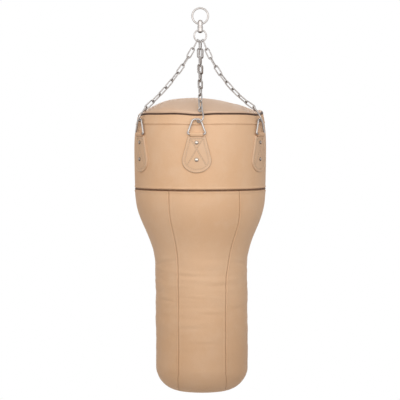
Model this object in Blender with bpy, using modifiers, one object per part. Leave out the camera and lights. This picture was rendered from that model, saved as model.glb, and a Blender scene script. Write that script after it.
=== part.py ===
"""Hanging leather punching bag: a wide top, a narrow lower part and a four-chain harness.

The origin is the hanging point, at the inner top of the top ring, and +Z is up.
The front of the bag faces -Y. Lengths are in metres and angles in degrees.
An azimuth is counted from the front towards +X.
"""
from math import acos, atan2, cos, hypot, pi, radians, sin, sqrt, tan

import bmesh
import bpy
from mathutils import Matrix, Vector

NAME = "punching_bag"

# Clearance between pieces that touch, and between crossing wires
GAP = 0.0003
WIRE_GAP = 0.0008

# Rings and swivel
TOP_RING_RADIUS = 0.030
TOP_RING_WIRE = 0.0075
HEAD_DIAMETER = 0.0195
HEAD_RISE = 0.0165
HEAD_DROP = 0.0078
STEM_DIAMETER = 0.006
NUT_WIDTH = 0.0105
NUT_HEIGHT = 0.0030
BARREL_DIAMETER = 0.0215
BARREL_ROOF = 0.0026
BARREL_NECK = 0.0137
BARREL_FOOT = 0.0130
BARREL_ROUNDING = 0.0085
LOWER_RING_RADIUS = 0.023
LOWER_RING_WIRE = 0.006

# Chains
LINK_WIRE = 0.005
LINK_WIDTH = 0.0195
LINK_COUNT = 9
FRONT_LINK_TURN = 1.6
CHAINS = {
    "front": {"azimuth": -3.0, "seat": -9.5, "hook_side": 1, "catch": 38.0, "pitch": 0.0383},
    "back": {"azimuth": 180.0, "seat": 9.5, "hook_side": 1, "catch": 0.0, "pitch": 0.0379},
    "left": {"azimuth": -63.0, "seat": -32.0, "hook_side": 1, "catch": 0.0, "pitch": 0.0375},
    "right": {"azimuth": 62.0, "seat": 32.0, "hook_side": -1, "catch": 0.0, "pitch": 0.0379},
}

# Hooks
HOOK_WIRE = 0.006
HOOK_LENGTH = 0.056
HOOK_EYE_RADIUS = 0.0084
HOOK_LOOP_RADIUS = 0.0160
HOOK_LEAN = 31.0
HOOK_TURN = 42.0
HOOK_TIP_CURL = -10.0

# Dee rings and tabs
DEE_WIRE = 0.007
DEE_BAR = 0.068
DEE_TOP = 0.028
DEE_HEIGHT = 0.054
DEE_TOP_ROUNDING = 0.012
DEE_BAR_ROUNDING = 0.005
DEE_LEAN = 1.0
DEE_BAR_DEPTH = 0.0745
SLEEVE_LENGTH = 0.050
SLEEVE_LEATHER = 0.0020
TAB_THICKNESS = 0.0048
TAB_TOP_WIDTH = 0.073
TAB_WIDTH = 0.111
TAB_TOP_DEPTH = 0.0795
TAB_WIDE_DEPTH = 0.172
TAB_ROUND_HEIGHT = 0.0465
RIVET_DIAMETER = 0.0145
RIVET_RISE = 0.0035
RIVET_DEPTHS = (0.106, 0.169)

# Bag
RIM_RADIUS = 0.2355
BELLY_RADIUS = 0.250
SEAM_RADIUS = 0.247
BAND_HEIGHT = 0.2825
BELLY_DEPTH = 0.135
WALL = 0.005
LID_RISE = 0.060
LID_POWER = 2.1
RIM_PIPING = 0.0055
SEAM_PIPING = 0.0044
PIPING_PROUD = 0.0015
NECK_HEIGHT = 0.308
NECK_SKEW = 0.028
LOWER_RADIUS = 0.1748
BAG_HEIGHT = 1.0505
BASE_ROUNDING = 0.094
ROLL_POWER = 2.6
BARREL_POWER = 2.0

# Facets
BAG_STEPS = 36
RING_STEPS = 32
SMALL_STEPS = 20
WIRE_SIDES = 8
PIPING_SIDES = 6
NECK_POINTS = 11
BAND_POINTS = 6
LID_POINTS = 6
CORNER_POINTS = 5
END_BEND_STEPS = 6
EYE_POINTS = 10
LOOP_POINTS = 4
TIP_POINTS = 5
DEE_CORNER_STEPS = 3
DOME_POINTS = 6
FLARE_POINTS = 9
TAB_FOOT_POINTS = 17
TAB_COLUMNS = 8
TAB_ROWS = 3
SLEEVE_STEPS = 14
RIVET_STEPS = 12
RIVET_POINTS = 4

# How often the chains are hung again, and the turn at their links halved, to settle
HANG_ROUNDS = 30
TURN_ROUNDS = 60

# How far a cutter reaches past what it cuts
CUT_PAST = 1.1

# Finishes: colour, roughness, metallic
STEEL = ("nickel_steel", (0.62, 0.60, 0.58), 0.28, 1.0)
LEATHER = ("natural_leather", (0.72, 0.47, 0.29), 0.55, 0.0)
LID_LEATHER = ("lid_leather", (0.70, 0.48, 0.33), 0.58, 0.0)
PIPING = ("brown_piping", (0.09, 0.045, 0.03), 0.5, 0.0)
TEXTILE = ("textile_filling", (0.45, 0.44, 0.42), 0.95, 0.0)

UP = Vector((0.0, 0.0, 1.0))


def collection(name):
    """Makes a collection in the scene."""
    group = bpy.data.collections.new(name)
    bpy.context.scene.collection.children.link(group)
    return group


def finish_material(finish):
    """Gives the material of a finish, made once."""
    name, colour, roughness, metallic = finish
    found = bpy.data.materials.get(name)
    if found:
        return found
    material = bpy.data.materials.new(name)
    material.use_nodes = True
    material.diffuse_color = (*colour, 1.0)
    shader = material.node_tree.nodes["Principled BSDF"]
    shader.inputs["Base Color"].default_value = (*colour, 1.0)
    shader.inputs["Roughness"].default_value = roughness
    shader.inputs["Metallic"].default_value = metallic
    return material


def add_object(name, data, group, finish=None):
    """Makes an object of mesh or curve data in a collection."""
    obj = bpy.data.objects.new(name, data)
    group.objects.link(obj)
    if finish:
        if not data.materials:
            data.materials.append(finish_material(finish))
    else:
        obj.hide_render = True
        obj.display_type = "WIRE"
    return obj


def turned(name, profile, group, finish=None, closed=False, steps=SMALL_STEPS):
    """Turns a profile of (radius, height) points, outer side first from top to bottom."""
    edges = [(i, i + 1) for i in range(len(profile) - 1)]
    if closed:
        edges.append((len(profile) - 1, 0))
    mesh = bpy.data.meshes.new(name)
    mesh.from_pydata([(radius, 0.0, height) for radius, height in profile], edges, [])
    obj = add_object(name, mesh, group, finish)
    screw = obj.modifiers.new("turn", "SCREW")
    screw.steps = steps
    screw.render_steps = steps
    screw.use_merge_vertices = True
    screw.merge_threshold = 0.00001
    screw.use_smooth_shade = True
    return obj


def wire(name, points, thickness, group, finish, cyclic=True, resolution=1):
    """Makes a round wire along a list of points."""
    curve = bpy.data.curves.new(name, "CURVE")
    curve.dimensions = "3D"
    curve.bevel_depth = thickness / 2
    curve.bevel_resolution = resolution
    curve.use_fill_caps = True
    spline = curve.splines.new("POLY")
    spline.points.add(len(points) - 1)
    for knot, place in zip(spline.points, points):
        knot.co = (*place, 1.0)
    spline.use_cyclic_u = cyclic
    spline.use_smooth = True
    return add_object(name, curve, group, finish)


def torus(name, radius, thickness, group, finish, steps, sides=WIRE_SIDES):
    """Makes a ring about the upright axis."""
    bpy.ops.mesh.primitive_torus_add(
        major_radius=radius, minor_radius=thickness / 2, major_segments=steps, minor_segments=sides)
    obj = bpy.context.object
    obj.name = name
    obj.data.name = name
    for other in list(obj.users_collection):
        other.objects.unlink(obj)
    group.objects.link(obj)
    obj.data.materials.append(finish_material(finish))
    obj.data.shade_smooth()
    return obj


def combine(obj, tool, operation):
    """Cuts a piece with a tool, or joins the tool to it."""
    boolean = obj.modifiers.new(operation.lower(), "BOOLEAN")
    boolean.operation = operation
    boolean.object = tool


def arc(centre_x, centre_y, radius_x, radius_y, first, last, count):
    """Gives count points on an arc of an ellipse, from one angle to another."""
    angles = [radians(first + (last - first) * i / (count - 1)) for i in range(count)]
    return [(centre_x + radius_x * cos(a), centre_y + radius_y * sin(a)) for a in angles]


def rounded(corners):
    """Gives the outline of (x, y, rounding) corners listed anticlockwise, each rounded by an arc."""
    outline = []
    for i, (x, y, rounding) in enumerate(corners):
        corner = Vector((x, y))
        before = (Vector(corners[i - 1][:2]) - corner).normalized()
        after = (Vector(corners[(i + 1) % len(corners)][:2]) - corner).normalized()
        half = acos(max(-1.0, min(1.0, before.dot(after)))) / 2
        centre = corner + (before + after).normalized() * rounding / sin(half)
        start = corner + before * rounding * cos(half) / sin(half) - centre
        sweep = pi - 2 * half
        for step in range(DEE_CORNER_STEPS + 1):
            turn = Matrix.Rotation(sweep * step / DEE_CORNER_STEPS, 2)
            outline.append(centre + turn @ start)
    return outline


def inset(outline, depth):
    """Moves a (radius, height) outline towards the axis side by a depth."""
    moved = []
    for i, (radius, height) in enumerate(outline):
        before = outline[max(i - 1, 0)]
        after = outline[min(i + 1, len(outline) - 1)]
        run = Vector((after[0] - before[0], after[1] - before[1])).normalized()
        moved.append((radius + run.y * depth, height - run.x * depth))
    return moved


def frame_matrix(origin, x_axis, z_axis):
    """Gives the placing of a piece from its origin, its x axis and its z axis."""
    y_axis = z_axis.cross(x_axis)
    turn = Matrix((x_axis, y_axis, z_axis)).transposed()
    return Matrix.Translation(origin) @ turn.to_4x4()


# Heights down the swivel
top_ring_z = -(TOP_RING_RADIUS - TOP_RING_WIRE / 2)
head_eye_z = top_ring_z - TOP_RING_RADIUS
barrel_top_z = head_eye_z - HEAD_DROP - GAP
barrel_eye_z = barrel_top_z - BARREL_NECK
lower_ring_z = barrel_eye_z - LOWER_RING_RADIUS


def band_radius(depth):
    """Gives the outer radius of the upper band at a depth under the rim piping."""
    if depth < BELLY_DEPTH:
        share = (BELLY_DEPTH - depth) / BELLY_DEPTH
        return BELLY_RADIUS - (BELLY_RADIUS - RIM_RADIUS) * share ** ROLL_POWER
    share = (depth - BELLY_DEPTH) / (BAND_HEIGHT - BELLY_DEPTH)
    return BELLY_RADIUS - (BELLY_RADIUS - SEAM_RADIUS) * share ** BARREL_POWER


def sleeve_radius():
    """Gives the outer radius of the leather fold round a dee ring's bar."""
    return DEE_WIRE / 2 + GAP + SLEEVE_LEATHER


def dee_bar_radius():
    """Gives the distance of a dee ring's bar from the bag's axis."""
    return band_radius(DEE_BAR_DEPTH) + GAP + sleeve_radius()


class Harness:
    """The places of one chain, its hook and its dee ring, from the rim piping's height down."""

    def __init__(self, azimuth, seat, hook_side, catch, pitch):
        self.pitch = pitch
        self.azimuth = radians(azimuth)
        self.out = Vector((sin(self.azimuth), -cos(self.azimuth), 0.0))
        self.across = Vector((cos(self.azimuth), sin(self.azimuth), 0.0))
        self.seat = radians(seat)
        lean = radians(HOOK_LEAN)
        turn = radians(HOOK_TURN)
        self.stem = self.out * sin(lean) - UP * cos(lean)
        away = self.out * cos(lean) + UP * sin(lean)
        self.opening = -hook_side * cos(turn) * self.across - sin(turn) * away
        tilt = radians(DEE_LEAN)
        self.dee_up = UP * cos(tilt) - self.out * sin(tilt)
        self.dee_bar = self.out * dee_bar_radius() - UP * DEE_BAR_DEPTH
        caught, run = self.catch_point(radians(catch), hook_side)
        normal = run.cross(self.opening).normalized()
        drop = ((DEE_WIRE + HOOK_WIRE) / 2 + WIRE_GAP) / abs(normal.dot(self.stem))
        seat_point = caught + self.stem * (drop - (HOOK_WIRE + WIRE_GAP) / 2)
        self.hook_foot = seat_point - self.opening * HOOK_LOOP_RADIUS
        self.hook_top = self.hook_foot - self.stem * HOOK_LENGTH
        self.chain_end = self.hook_top + self.opening * HOOK_LOOP_RADIUS
        self.junctions = []

    def catch_point(self, turn, side):
        """Gives where the dee ring's wire is caught, by a turn round its top corner, and its run there."""
        half = (pi - atan2(DEE_HEIGHT, (DEE_BAR - DEE_TOP) / 2)) / 2
        middle = (DEE_TOP / 2 - DEE_TOP_ROUNDING / tan(half)) if turn else 0.0
        shift = side * (middle + DEE_TOP_ROUNDING * sin(turn))
        rise = DEE_HEIGHT - DEE_TOP_ROUNDING * (1 - cos(turn))
        run = self.across * cos(turn) - self.dee_up * side * sin(turn)
        return self.dee_bar + self.dee_up * rise + self.across * shift, run

    def ring_point(self):
        """Gives the point of the lower ring's wire that the chain hangs on."""
        return Vector((LOWER_RING_RADIUS * sin(self.seat), 0.0,
                       lower_ring_z - LOWER_RING_RADIUS * cos(self.seat)))

    def hang(self, rim_z=None):
        """Hangs the chain as an arc of equal links, and gives the rim piping's height.

        Without a rim height the chain turns by FRONT_LINK_TURN at each link and sets that height.
        With one, the turn that brings the last link to its hook is found by halving.
        """
        pull = Vector((0.0, 0.0, -1.0))
        for _ in range(HANG_ROUNDS):
            start = self.ring_point() - pull * (LOWER_RING_WIRE + WIRE_GAP) / 2
            level = Vector((self.chain_end.x - start.x, self.chain_end.y - start.y, 0.0))
            if rim_z is None:
                turn = radians(FRONT_LINK_TURN)
                chord = self.pitch * sin(LINK_COUNT * turn / 2) / sin(turn / 2)
                drop = sqrt(chord ** 2 - level.length ** 2)
            else:
                drop = start.z - (rim_z + self.chain_end.z)
                turn = self.solve_turn(hypot(level.length, drop) / self.pitch)
            slope = atan2(drop, level.length)
            heading = level.normalized()
            angles = [slope + ((LINK_COUNT - 1) / 2 - k) * turn for k in range(LINK_COUNT)]
            runs = [heading * cos(a) - UP * sin(a) for a in angles]
            pull = runs[0]
        self.runs = runs
        self.heading = heading
        self.junctions = [start]
        for run in runs:
            self.junctions.append(self.junctions[-1] + run * self.pitch)
        return self.junctions[-1].z - self.chain_end.z

    @staticmethod
    def solve_turn(ratio):
        """Gives the turn at each link that makes the chord this many links long."""
        low, high = 1e-6, 2 * pi / LINK_COUNT
        for _ in range(TURN_ROUNDS):
            middle = (low + high) / 2
            if sin(LINK_COUNT * middle / 2) / sin(middle / 2) > ratio:
                low = middle
            else:
                high = middle
        return low

    def link_widths(self):
        """Gives the direction of each link's width, quarter turned and evenly twisted to the hook."""
        side = self.heading.cross(UP)

        def angle(direction, run):
            normal = run.cross(side)
            return atan2(direction.dot(normal), direction.dot(side))

        first = angle(Vector((0.0, 1.0, 0.0)), self.runs[0])
        crosswise = self.stem.cross(self.opening)
        last = angle(crosswise, self.runs[-1])
        spread = last - first - (LINK_COUNT - 1) * pi / 2
        twist = (spread + pi / 2) % pi - pi / 2
        widths = []
        for k, run in enumerate(self.runs):
            a = first + k * pi / 2 + twist * k / (LINK_COUNT - 1)
            widths.append((side * cos(a) + run.cross(side) * sin(a)).normalized())
        return widths


def build_top_ring(group):
    """Makes the ring that goes over the ceiling hook."""
    ring = torus("top_ring", TOP_RING_RADIUS, TOP_RING_WIRE, group, STEEL, RING_STEPS)
    ring.matrix_world = Matrix.Translation((0, 0, top_ring_z)) @ Matrix.Rotation(pi / 2, 4, "X")
    return ring


def eye_cutter(name, ring_radius, ring_wire, half_length, height, tools):
    """Makes a hole along X that opens out at both ends, so that a ring can turn in it."""
    profile = []
    for i in range(FLARE_POINTS):
        x = half_length * (1 - 2 * i / (FLARE_POINTS - 1))
        flare = ring_radius - sqrt(ring_radius ** 2 - x ** 2)
        profile.append((ring_wire / 2 + WIRE_GAP + flare, x))
    profile = [(0.0, half_length)] + profile + [(0.0, -half_length)]
    cutter = turned(name, profile, tools)
    cutter.matrix_world = Matrix.Translation((0, 0, height)) @ Matrix.Rotation(pi / 2, 4, "Y")
    return cutter


def build_swivel(group, tools):
    """Makes the head with its stem, the nut on the stem and the barrel that turns on them."""
    head_radius = HEAD_DIAMETER / 2
    stem_radius = STEM_DIAMETER / 2
    dome_z = HEAD_RISE - head_radius
    nut_top = barrel_top_z - BARREL_ROOF - GAP - head_eye_z
    stem_end = nut_top - NUT_HEIGHT
    head_profile = arc(0.0, dome_z, head_radius, head_radius, 90, 0, DOME_POINTS)
    head_profile += [(head_radius, -HEAD_DROP), (stem_radius, -HEAD_DROP)]
    head_profile += [(stem_radius, stem_end), (0.0, stem_end)]
    head_profile[0] = (0.0, HEAD_RISE)
    head = turned("swivel_head", head_profile, group, STEEL)
    head.location.z = head_eye_z
    combine(head, eye_cutter("head_eye_cutter", TOP_RING_RADIUS, TOP_RING_WIRE,
                             head_radius * CUT_PAST, head_eye_z, tools), "DIFFERENCE")

    mesh = bpy.data.meshes.new("swivel_nut")
    nut_bm = bmesh.new()
    bmesh.ops.create_cone(nut_bm, cap_ends=True, segments=6, radius1=NUT_WIDTH / 2,
                          radius2=NUT_WIDTH / 2, depth=NUT_HEIGHT)
    nut_bm.to_mesh(mesh)
    nut_bm.free()
    nut = add_object("swivel_nut", mesh, group, STEEL)
    nut.location.z = head_eye_z + nut_top - NUT_HEIGHT / 2
    bore_radius = stem_radius + GAP
    bore = turned("nut_bore_cutter", [(0.0, NUT_HEIGHT), (bore_radius, NUT_HEIGHT),
                                      (bore_radius, -NUT_HEIGHT), (0.0, -NUT_HEIGHT)], tools)
    bore.location.z = nut.location.z
    combine(nut, bore, "DIFFERENCE")

    barrel_radius = BARREL_DIAMETER / 2
    roof_z = -BARREL_ROOF
    floor_z = roof_z - NUT_HEIGHT - 2 * GAP
    cavity_radius = NUT_WIDTH / 2 + GAP
    foot_z = -BARREL_NECK - BARREL_FOOT
    profile = [(bore_radius, 0.0), (barrel_radius, 0.0)]
    profile += arc(0.0, foot_z + BARREL_ROUNDING, barrel_radius, BARREL_ROUNDING, 0, -90, DOME_POINTS)
    profile[-1] = (0.0, foot_z)
    profile += [(0.0, floor_z), (cavity_radius, floor_z), (cavity_radius, roof_z), (bore_radius, roof_z)]
    barrel = turned("swivel_barrel", profile, group, STEEL, closed=True)
    barrel.location.z = barrel_top_z
    combine(barrel, eye_cutter("barrel_eye_cutter", LOWER_RING_RADIUS, LOWER_RING_WIRE,
                               barrel_radius * CUT_PAST, barrel_eye_z, tools), "DIFFERENCE")
    return head, nut, barrel


def build_lower_ring(group):
    """Makes the ring that gathers the four chains."""
    ring = torus("lower_ring", LOWER_RING_RADIUS, LOWER_RING_WIRE, group, STEEL, RING_STEPS)
    ring.matrix_world = Matrix.Translation((0, 0, lower_ring_z)) @ Matrix.Rotation(pi / 2, 4, "X")
    return ring


def link_points(pitch):
    """Gives the path of one long link of this pitch, upright, with its width along X."""
    bend = (LINK_WIDTH - LINK_WIRE) / 2
    straight = (pitch + LINK_WIRE + WIRE_GAP) / 2 - bend
    ends = arc(0.0, straight, bend, bend, 0, 180, END_BEND_STEPS + 1)
    ends += arc(0.0, -straight, bend, bend, 180, 360, END_BEND_STEPS + 1)
    return [(x, 0.0, z) for x, z in ends]


def build_chain(name, harness, group):
    """Makes the links of one chain, each between two junctions."""
    links = []
    widths = harness.link_widths()
    for k, (run, width) in enumerate(zip(harness.runs, widths)):
        node = f"{name}_link_{k + 1}"
        if links:
            link = add_object(node, links[0].data, group, STEEL)
        else:
            link = wire(node, link_points(harness.pitch), LINK_WIRE, group, STEEL)
        middle = (harness.junctions[k] + harness.junctions[k + 1]) / 2
        link.matrix_world = frame_matrix(middle, width, -run)
        links.append(link)
    return links


def hook_points():
    """Gives the path of a hook: its eye, its slanting stem and its open loop under the eye, towards +X."""
    wire_seat = (HOOK_WIRE + WIRE_GAP) / 2
    eye_z = wire_seat - HOOK_EYE_RADIUS
    loop_z = -HOOK_LENGTH - wire_seat + HOOK_LOOP_RADIUS
    eye = arc(HOOK_LOOP_RADIUS, eye_z, HOOK_EYE_RADIUS, HOOK_EYE_RADIUS, -90, 180, EYE_POINTS)
    loop = arc(HOOK_LOOP_RADIUS, loop_z, HOOK_LOOP_RADIUS, HOOK_LOOP_RADIUS, 180, 270, LOOP_POINTS)
    tip = arc(HOOK_LOOP_RADIUS, loop_z, HOOK_LOOP_RADIUS, HOOK_LOOP_RADIUS,
              270, 360 + HOOK_TIP_CURL, TIP_POINTS)
    return [(x, 0.0, z) for x, z in eye + loop + tip[1:]]


def build_hook(name, harness, rim_z, group):
    """Makes one hook, from the last link over the rim to the dee ring."""
    hook = wire(f"{name}_hook", hook_points(), HOOK_WIRE, group, STEEL, cyclic=False)
    hook.matrix_world = frame_matrix(harness.hook_top + UP * rim_z, harness.opening, -harness.stem)
    return hook


def dee_points():
    """Gives the path of a dee ring from its bar's middle, upright, with its bar along X."""
    outline = rounded([
        (-DEE_BAR / 2, 0.0, DEE_BAR_ROUNDING), (DEE_BAR / 2, 0.0, DEE_BAR_ROUNDING),
        (DEE_TOP / 2, DEE_HEIGHT, DEE_TOP_ROUNDING), (-DEE_TOP / 2, DEE_HEIGHT, DEE_TOP_ROUNDING)])
    return [(point.x, 0.0, point.y) for point in outline]


def build_dee(name, harness, rim_z, group):
    """Makes one dee ring, with its origin at the middle of its bar."""
    dee = wire(f"{name}_dee_ring", dee_points(), DEE_WIRE, group, STEEL)
    dee.matrix_world = frame_matrix(harness.dee_bar + UP * rim_z, harness.across, harness.dee_up)
    return dee


def tab_outline():
    """Gives the pear outline of a tab as (across, depth) points, with straight sides to a round foot."""
    half_top = TAB_TOP_WIDTH / 2
    half_width = TAB_WIDTH / 2
    stretch = half_width / TAB_ROUND_HEIGHT
    rise = (TAB_WIDE_DEPTH - TAB_TOP_DEPTH) * stretch
    tangent = atan2(rise, half_top) - acos(half_width / hypot(half_top, rise))
    foot = arc(0.0, TAB_WIDE_DEPTH, half_width, -TAB_ROUND_HEIGHT,
               tangent * 180 / pi, -180 - tangent * 180 / pi, TAB_FOOT_POINTS)
    return [(-half_top, TAB_TOP_DEPTH), (half_top, TAB_TOP_DEPTH)] + foot


def tab_mesh(group, tools):
    """Makes the mesh of a tab at the front of the bag, with its sleeve and its rivet heads."""
    pear = bmesh.new()
    corners = [pear.verts.new((across, 0.0, -depth)) for across, depth in tab_outline()]
    pear.faces.new(corners)
    for i in range(1, TAB_COLUMNS):
        bmesh.ops.bisect_plane(pear, geom=pear.verts[:] + pear.edges[:] + pear.faces[:],
                               plane_co=(TAB_WIDTH * (i / TAB_COLUMNS - 0.5), 0.0, 0.0),
                               plane_no=(1.0, 0.0, 0.0))
    for i in range(TAB_ROWS):
        depth = TAB_TOP_DEPTH + (TAB_WIDE_DEPTH - TAB_TOP_DEPTH) * (i + 1) / TAB_ROWS
        bmesh.ops.bisect_plane(pear, geom=pear.verts[:] + pear.edges[:] + pear.faces[:],
                               plane_co=(0.0, 0.0, -depth), plane_no=(0.0, 0.0, 1.0))
    for vertex in pear.verts:
        radius = band_radius(-vertex.co.z) + GAP
        angle = vertex.co.x / BELLY_RADIUS
        vertex.co.x = radius * sin(angle)
        vertex.co.y = -radius * cos(angle)
    bmesh.ops.recalc_face_normals(pear, faces=pear.faces[:])
    if sum(face.normal.y for face in pear.faces) > 0:
        bmesh.ops.reverse_faces(pear, faces=pear.faces[:])
    mesh = bpy.data.meshes.new("tab")
    pear.to_mesh(mesh)
    pear.free()
    tab = add_object("tab_pattern", mesh, tools)
    solid = tab.modifiers.new("leather", "SOLIDIFY")
    solid.thickness = TAB_THICKNESS
    solid.offset = 1.0

    lying = Matrix.Translation((0, -dee_bar_radius(), -DEE_BAR_DEPTH)) @ Matrix.Rotation(pi / 2, 4, "Y")
    shapes = (("sleeve", sleeve_radius(), SLEEVE_LENGTH / 2, "UNION"),
              ("bar_bore", DEE_WIRE / 2 + GAP, SLEEVE_LENGTH, "DIFFERENCE"))
    for name, radius, half, operation in shapes:
        rod = turned(name, [(0.0, half), (radius, half), (radius, -half), (0.0, -half)], tools,
                     steps=SLEEVE_STEPS)
        rod.matrix_world = lying
        combine(tab, rod, operation)
    for i, depth in enumerate(RIVET_DEPTHS):
        face = band_radius(depth) + GAP + TAB_THICKNESS
        head = arc(0.0, 0.0, RIVET_DIAMETER / 2, RIVET_RISE, 90, 0, RIVET_POINTS)
        head[0] = (0.0, RIVET_RISE)
        head += [(RIVET_DIAMETER / 2, -TAB_THICKNESS / 2), (0.0, -TAB_THICKNESS / 2)]
        rivet = turned(f"rivet_{i + 1}", head, tools, steps=RIVET_STEPS)
        rivet.matrix_world = Matrix.Translation((0, -face, -depth)) @ Matrix.Rotation(pi / 2, 4, "X")
        combine(tab, rivet, "UNION")
    bpy.context.view_layer.update()
    evaluated = tab.evaluated_get(bpy.context.evaluated_depsgraph_get())
    finished = bpy.data.meshes.new_from_object(evaluated)
    finished.name = "leather_tab"
    finished.materials.clear()
    finished.materials.append(finish_material(LEATHER))
    finished.set_sharp_from_angle(angle=radians(40))
    return finished


def build_tab(name, mesh, harness, rim_z, group):
    """Places one tab, turned to its chain."""
    tab = add_object(f"{name}_tab", mesh, group, LEATHER)
    tab.matrix_world = Matrix.Translation((0, 0, rim_z)) @ Matrix.Rotation(harness.azimuth, 4, "Z")
    return tab


def lid_outline(radius, rise, foot):
    """Gives the lid's (radius, height) outline from its crown to its edge."""
    points = []
    for i in range(LID_POINTS):
        r = radius * i / (LID_POINTS - 1)
        points.append((r, foot + rise * (1 - (r / radius) ** LID_POWER)))
    return points


def neck_outline(top):
    """Gives the lower shell's outline from the seam down to its flat base."""
    points = []
    for i in range(NECK_POINTS):
        t = i / (NECK_POINTS - 1)
        u = t - NECK_SKEW * sin(2 * pi * t)
        radius = LOWER_RADIUS + (SEAM_RADIUS - LOWER_RADIUS) * (1 + cos(pi * u)) / 2
        points.append((radius, top - NECK_HEIGHT * t))
    corner = LOWER_RADIUS - BASE_ROUNDING
    points += arc(corner, -BAG_HEIGHT + BASE_ROUNDING, BASE_ROUNDING, BASE_ROUNDING, 0, -90, CORNER_POINTS)
    return points


def build_bag(rim_z, group):
    """Makes the lid, the band, the lower shell, the base, both pipings and the filling."""
    pieces = []
    rim_half = RIM_PIPING / 2 + GAP
    seam_half = SEAM_PIPING / 2 + GAP

    lid_outer = lid_outline(RIM_RADIUS, LID_RISE, rim_half)
    lid_inner = lid_outline(RIM_RADIUS - WALL, LID_RISE - WALL, rim_half)
    pieces.append(turned("top_lid", lid_outer + lid_inner[::-1], group, LID_LEATHER, steps=BAG_STEPS))

    depths = [rim_half + (BAND_HEIGHT - seam_half - rim_half) * i / (BAND_POINTS - 1)
              for i in range(BAND_POINTS)]
    band = [(band_radius(depth), -depth) for depth in depths]
    band_inner = [(radius - WALL, height) for radius, height in band]
    pieces.append(turned("upper_band", band + band_inner[::-1], group, LEATHER, closed=True,
                         steps=BAG_STEPS))

    neck = neck_outline(-BAND_HEIGHT - seam_half)
    neck_inner = inset(neck, WALL)
    neck_inner[0] = (neck[0][0] - WALL, neck[0][1])
    neck_inner[-1] = (neck[-1][0], neck[-1][1] + WALL)
    pieces.append(turned("lower_shell", neck + neck_inner[::-1], group, LEATHER, closed=True,
                         steps=BAG_STEPS))

    base_radius = LOWER_RADIUS - BASE_ROUNDING - GAP
    base = [(0.0, WALL - BAG_HEIGHT), (base_radius, WALL - BAG_HEIGHT),
            (base_radius, -BAG_HEIGHT), (0.0, -BAG_HEIGHT)]
    pieces.append(turned("base_disc", base, group, LEATHER, steps=BAG_STEPS))

    for name, radius, thickness, height in (
            ("rim_piping", RIM_RADIUS, RIM_PIPING, 0.0),
            ("lower_piping", SEAM_RADIUS, SEAM_PIPING, -BAND_HEIGHT)):
        ring = torus(name, radius + PIPING_PROUD - thickness / 2, thickness, group, PIPING,
                     BAG_STEPS, sides=PIPING_SIDES)
        ring.location.z = height
        pieces.append(ring)

    fill = lid_outline(RIM_RADIUS - WALL - GAP, LID_RISE - WALL - GAP, rim_half)
    fill += [(radius - WALL - GAP, height) for radius, height in band]
    fill += [(radius, height) for radius, height in inset(neck_inner[1:], GAP)]
    fill[-1] = (fill[-1][0], WALL - BAG_HEIGHT + GAP)
    fill.append((0.0, WALL - BAG_HEIGHT + GAP))
    pieces.append(turned("filling", fill, group, TEXTILE, steps=BAG_STEPS // 2))
    for piece in pieces:
        piece.location.z += rim_z
    return pieces


def joint_axis(name, place, group):
    """Makes an empty on a joint's axis, for what moves about it."""
    empty = bpy.data.objects.new(name, None)
    group.objects.link(empty)
    empty.location = place
    return empty


def attach(children, parent):
    """Parents pieces without moving them."""
    bpy.context.view_layer.update()
    for child in children:
        child.parent = parent
        child.matrix_parent_inverse = parent.matrix_world.inverted()


def build():
    """Builds the whole bag and gives the rim piping's height."""
    for obj in list(bpy.data.objects):
        bpy.data.objects.remove(obj, do_unlink=True)
    group = collection(NAME)
    tools = collection("tools")

    build_top_ring(group)
    head, nut, barrel = build_swivel(group, tools)
    ring = build_lower_ring(group)

    harnesses = {name: Harness(**values) for name, values in CHAINS.items()}
    rim_z = harnesses["front"].hang()
    for harness in harnesses.values():
        harness.hang(rim_z)

    hung = build_bag(rim_z, group)
    pattern = tab_mesh(group, tools)
    for name, harness in harnesses.items():
        hung += build_chain(name, harness, group)
        hung.append(build_hook(name, harness, rim_z, group))
        hung.append(build_dee(name, harness, rim_z, group))
        hung.append(build_tab(name, pattern, harness, rim_z, group))

    head_rock = joint_axis("head_rock_axis", (0, 0, head_eye_z), group)
    swivel_spin = joint_axis("swivel_spin_axis", (0, 0, barrel_top_z), group)
    ring_rock = joint_axis("ring_rock_axis", (0, 0, barrel_eye_z), group)
    bag_swing = joint_axis("bag_swing_axis", (0, 0, lower_ring_z), group)
    attach([head, nut, swivel_spin], head_rock)
    attach([barrel, ring_rock], swivel_spin)
    attach([ring, bag_swing], ring_rock)
    attach(hung, bag_swing)
    return rim_z


if __name__ == "__main__":
    build()
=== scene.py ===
"""Dresses the hanging punching bag: its leather, its sewing and its steel harness.

The frame's origin is the hanging point and +Z is up. The front of the bag faces -Y, and an
azimuth is counted from the front towards +X. Lengths are in metres and angles in degrees.
"""

import logging
import math
from collections.abc import Callable, Iterable, Sequence
from dataclasses import dataclass, field
from enum import Enum

import bmesh
import bpy
import numpy as np
from mathutils import Matrix, Vector, noise


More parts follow.
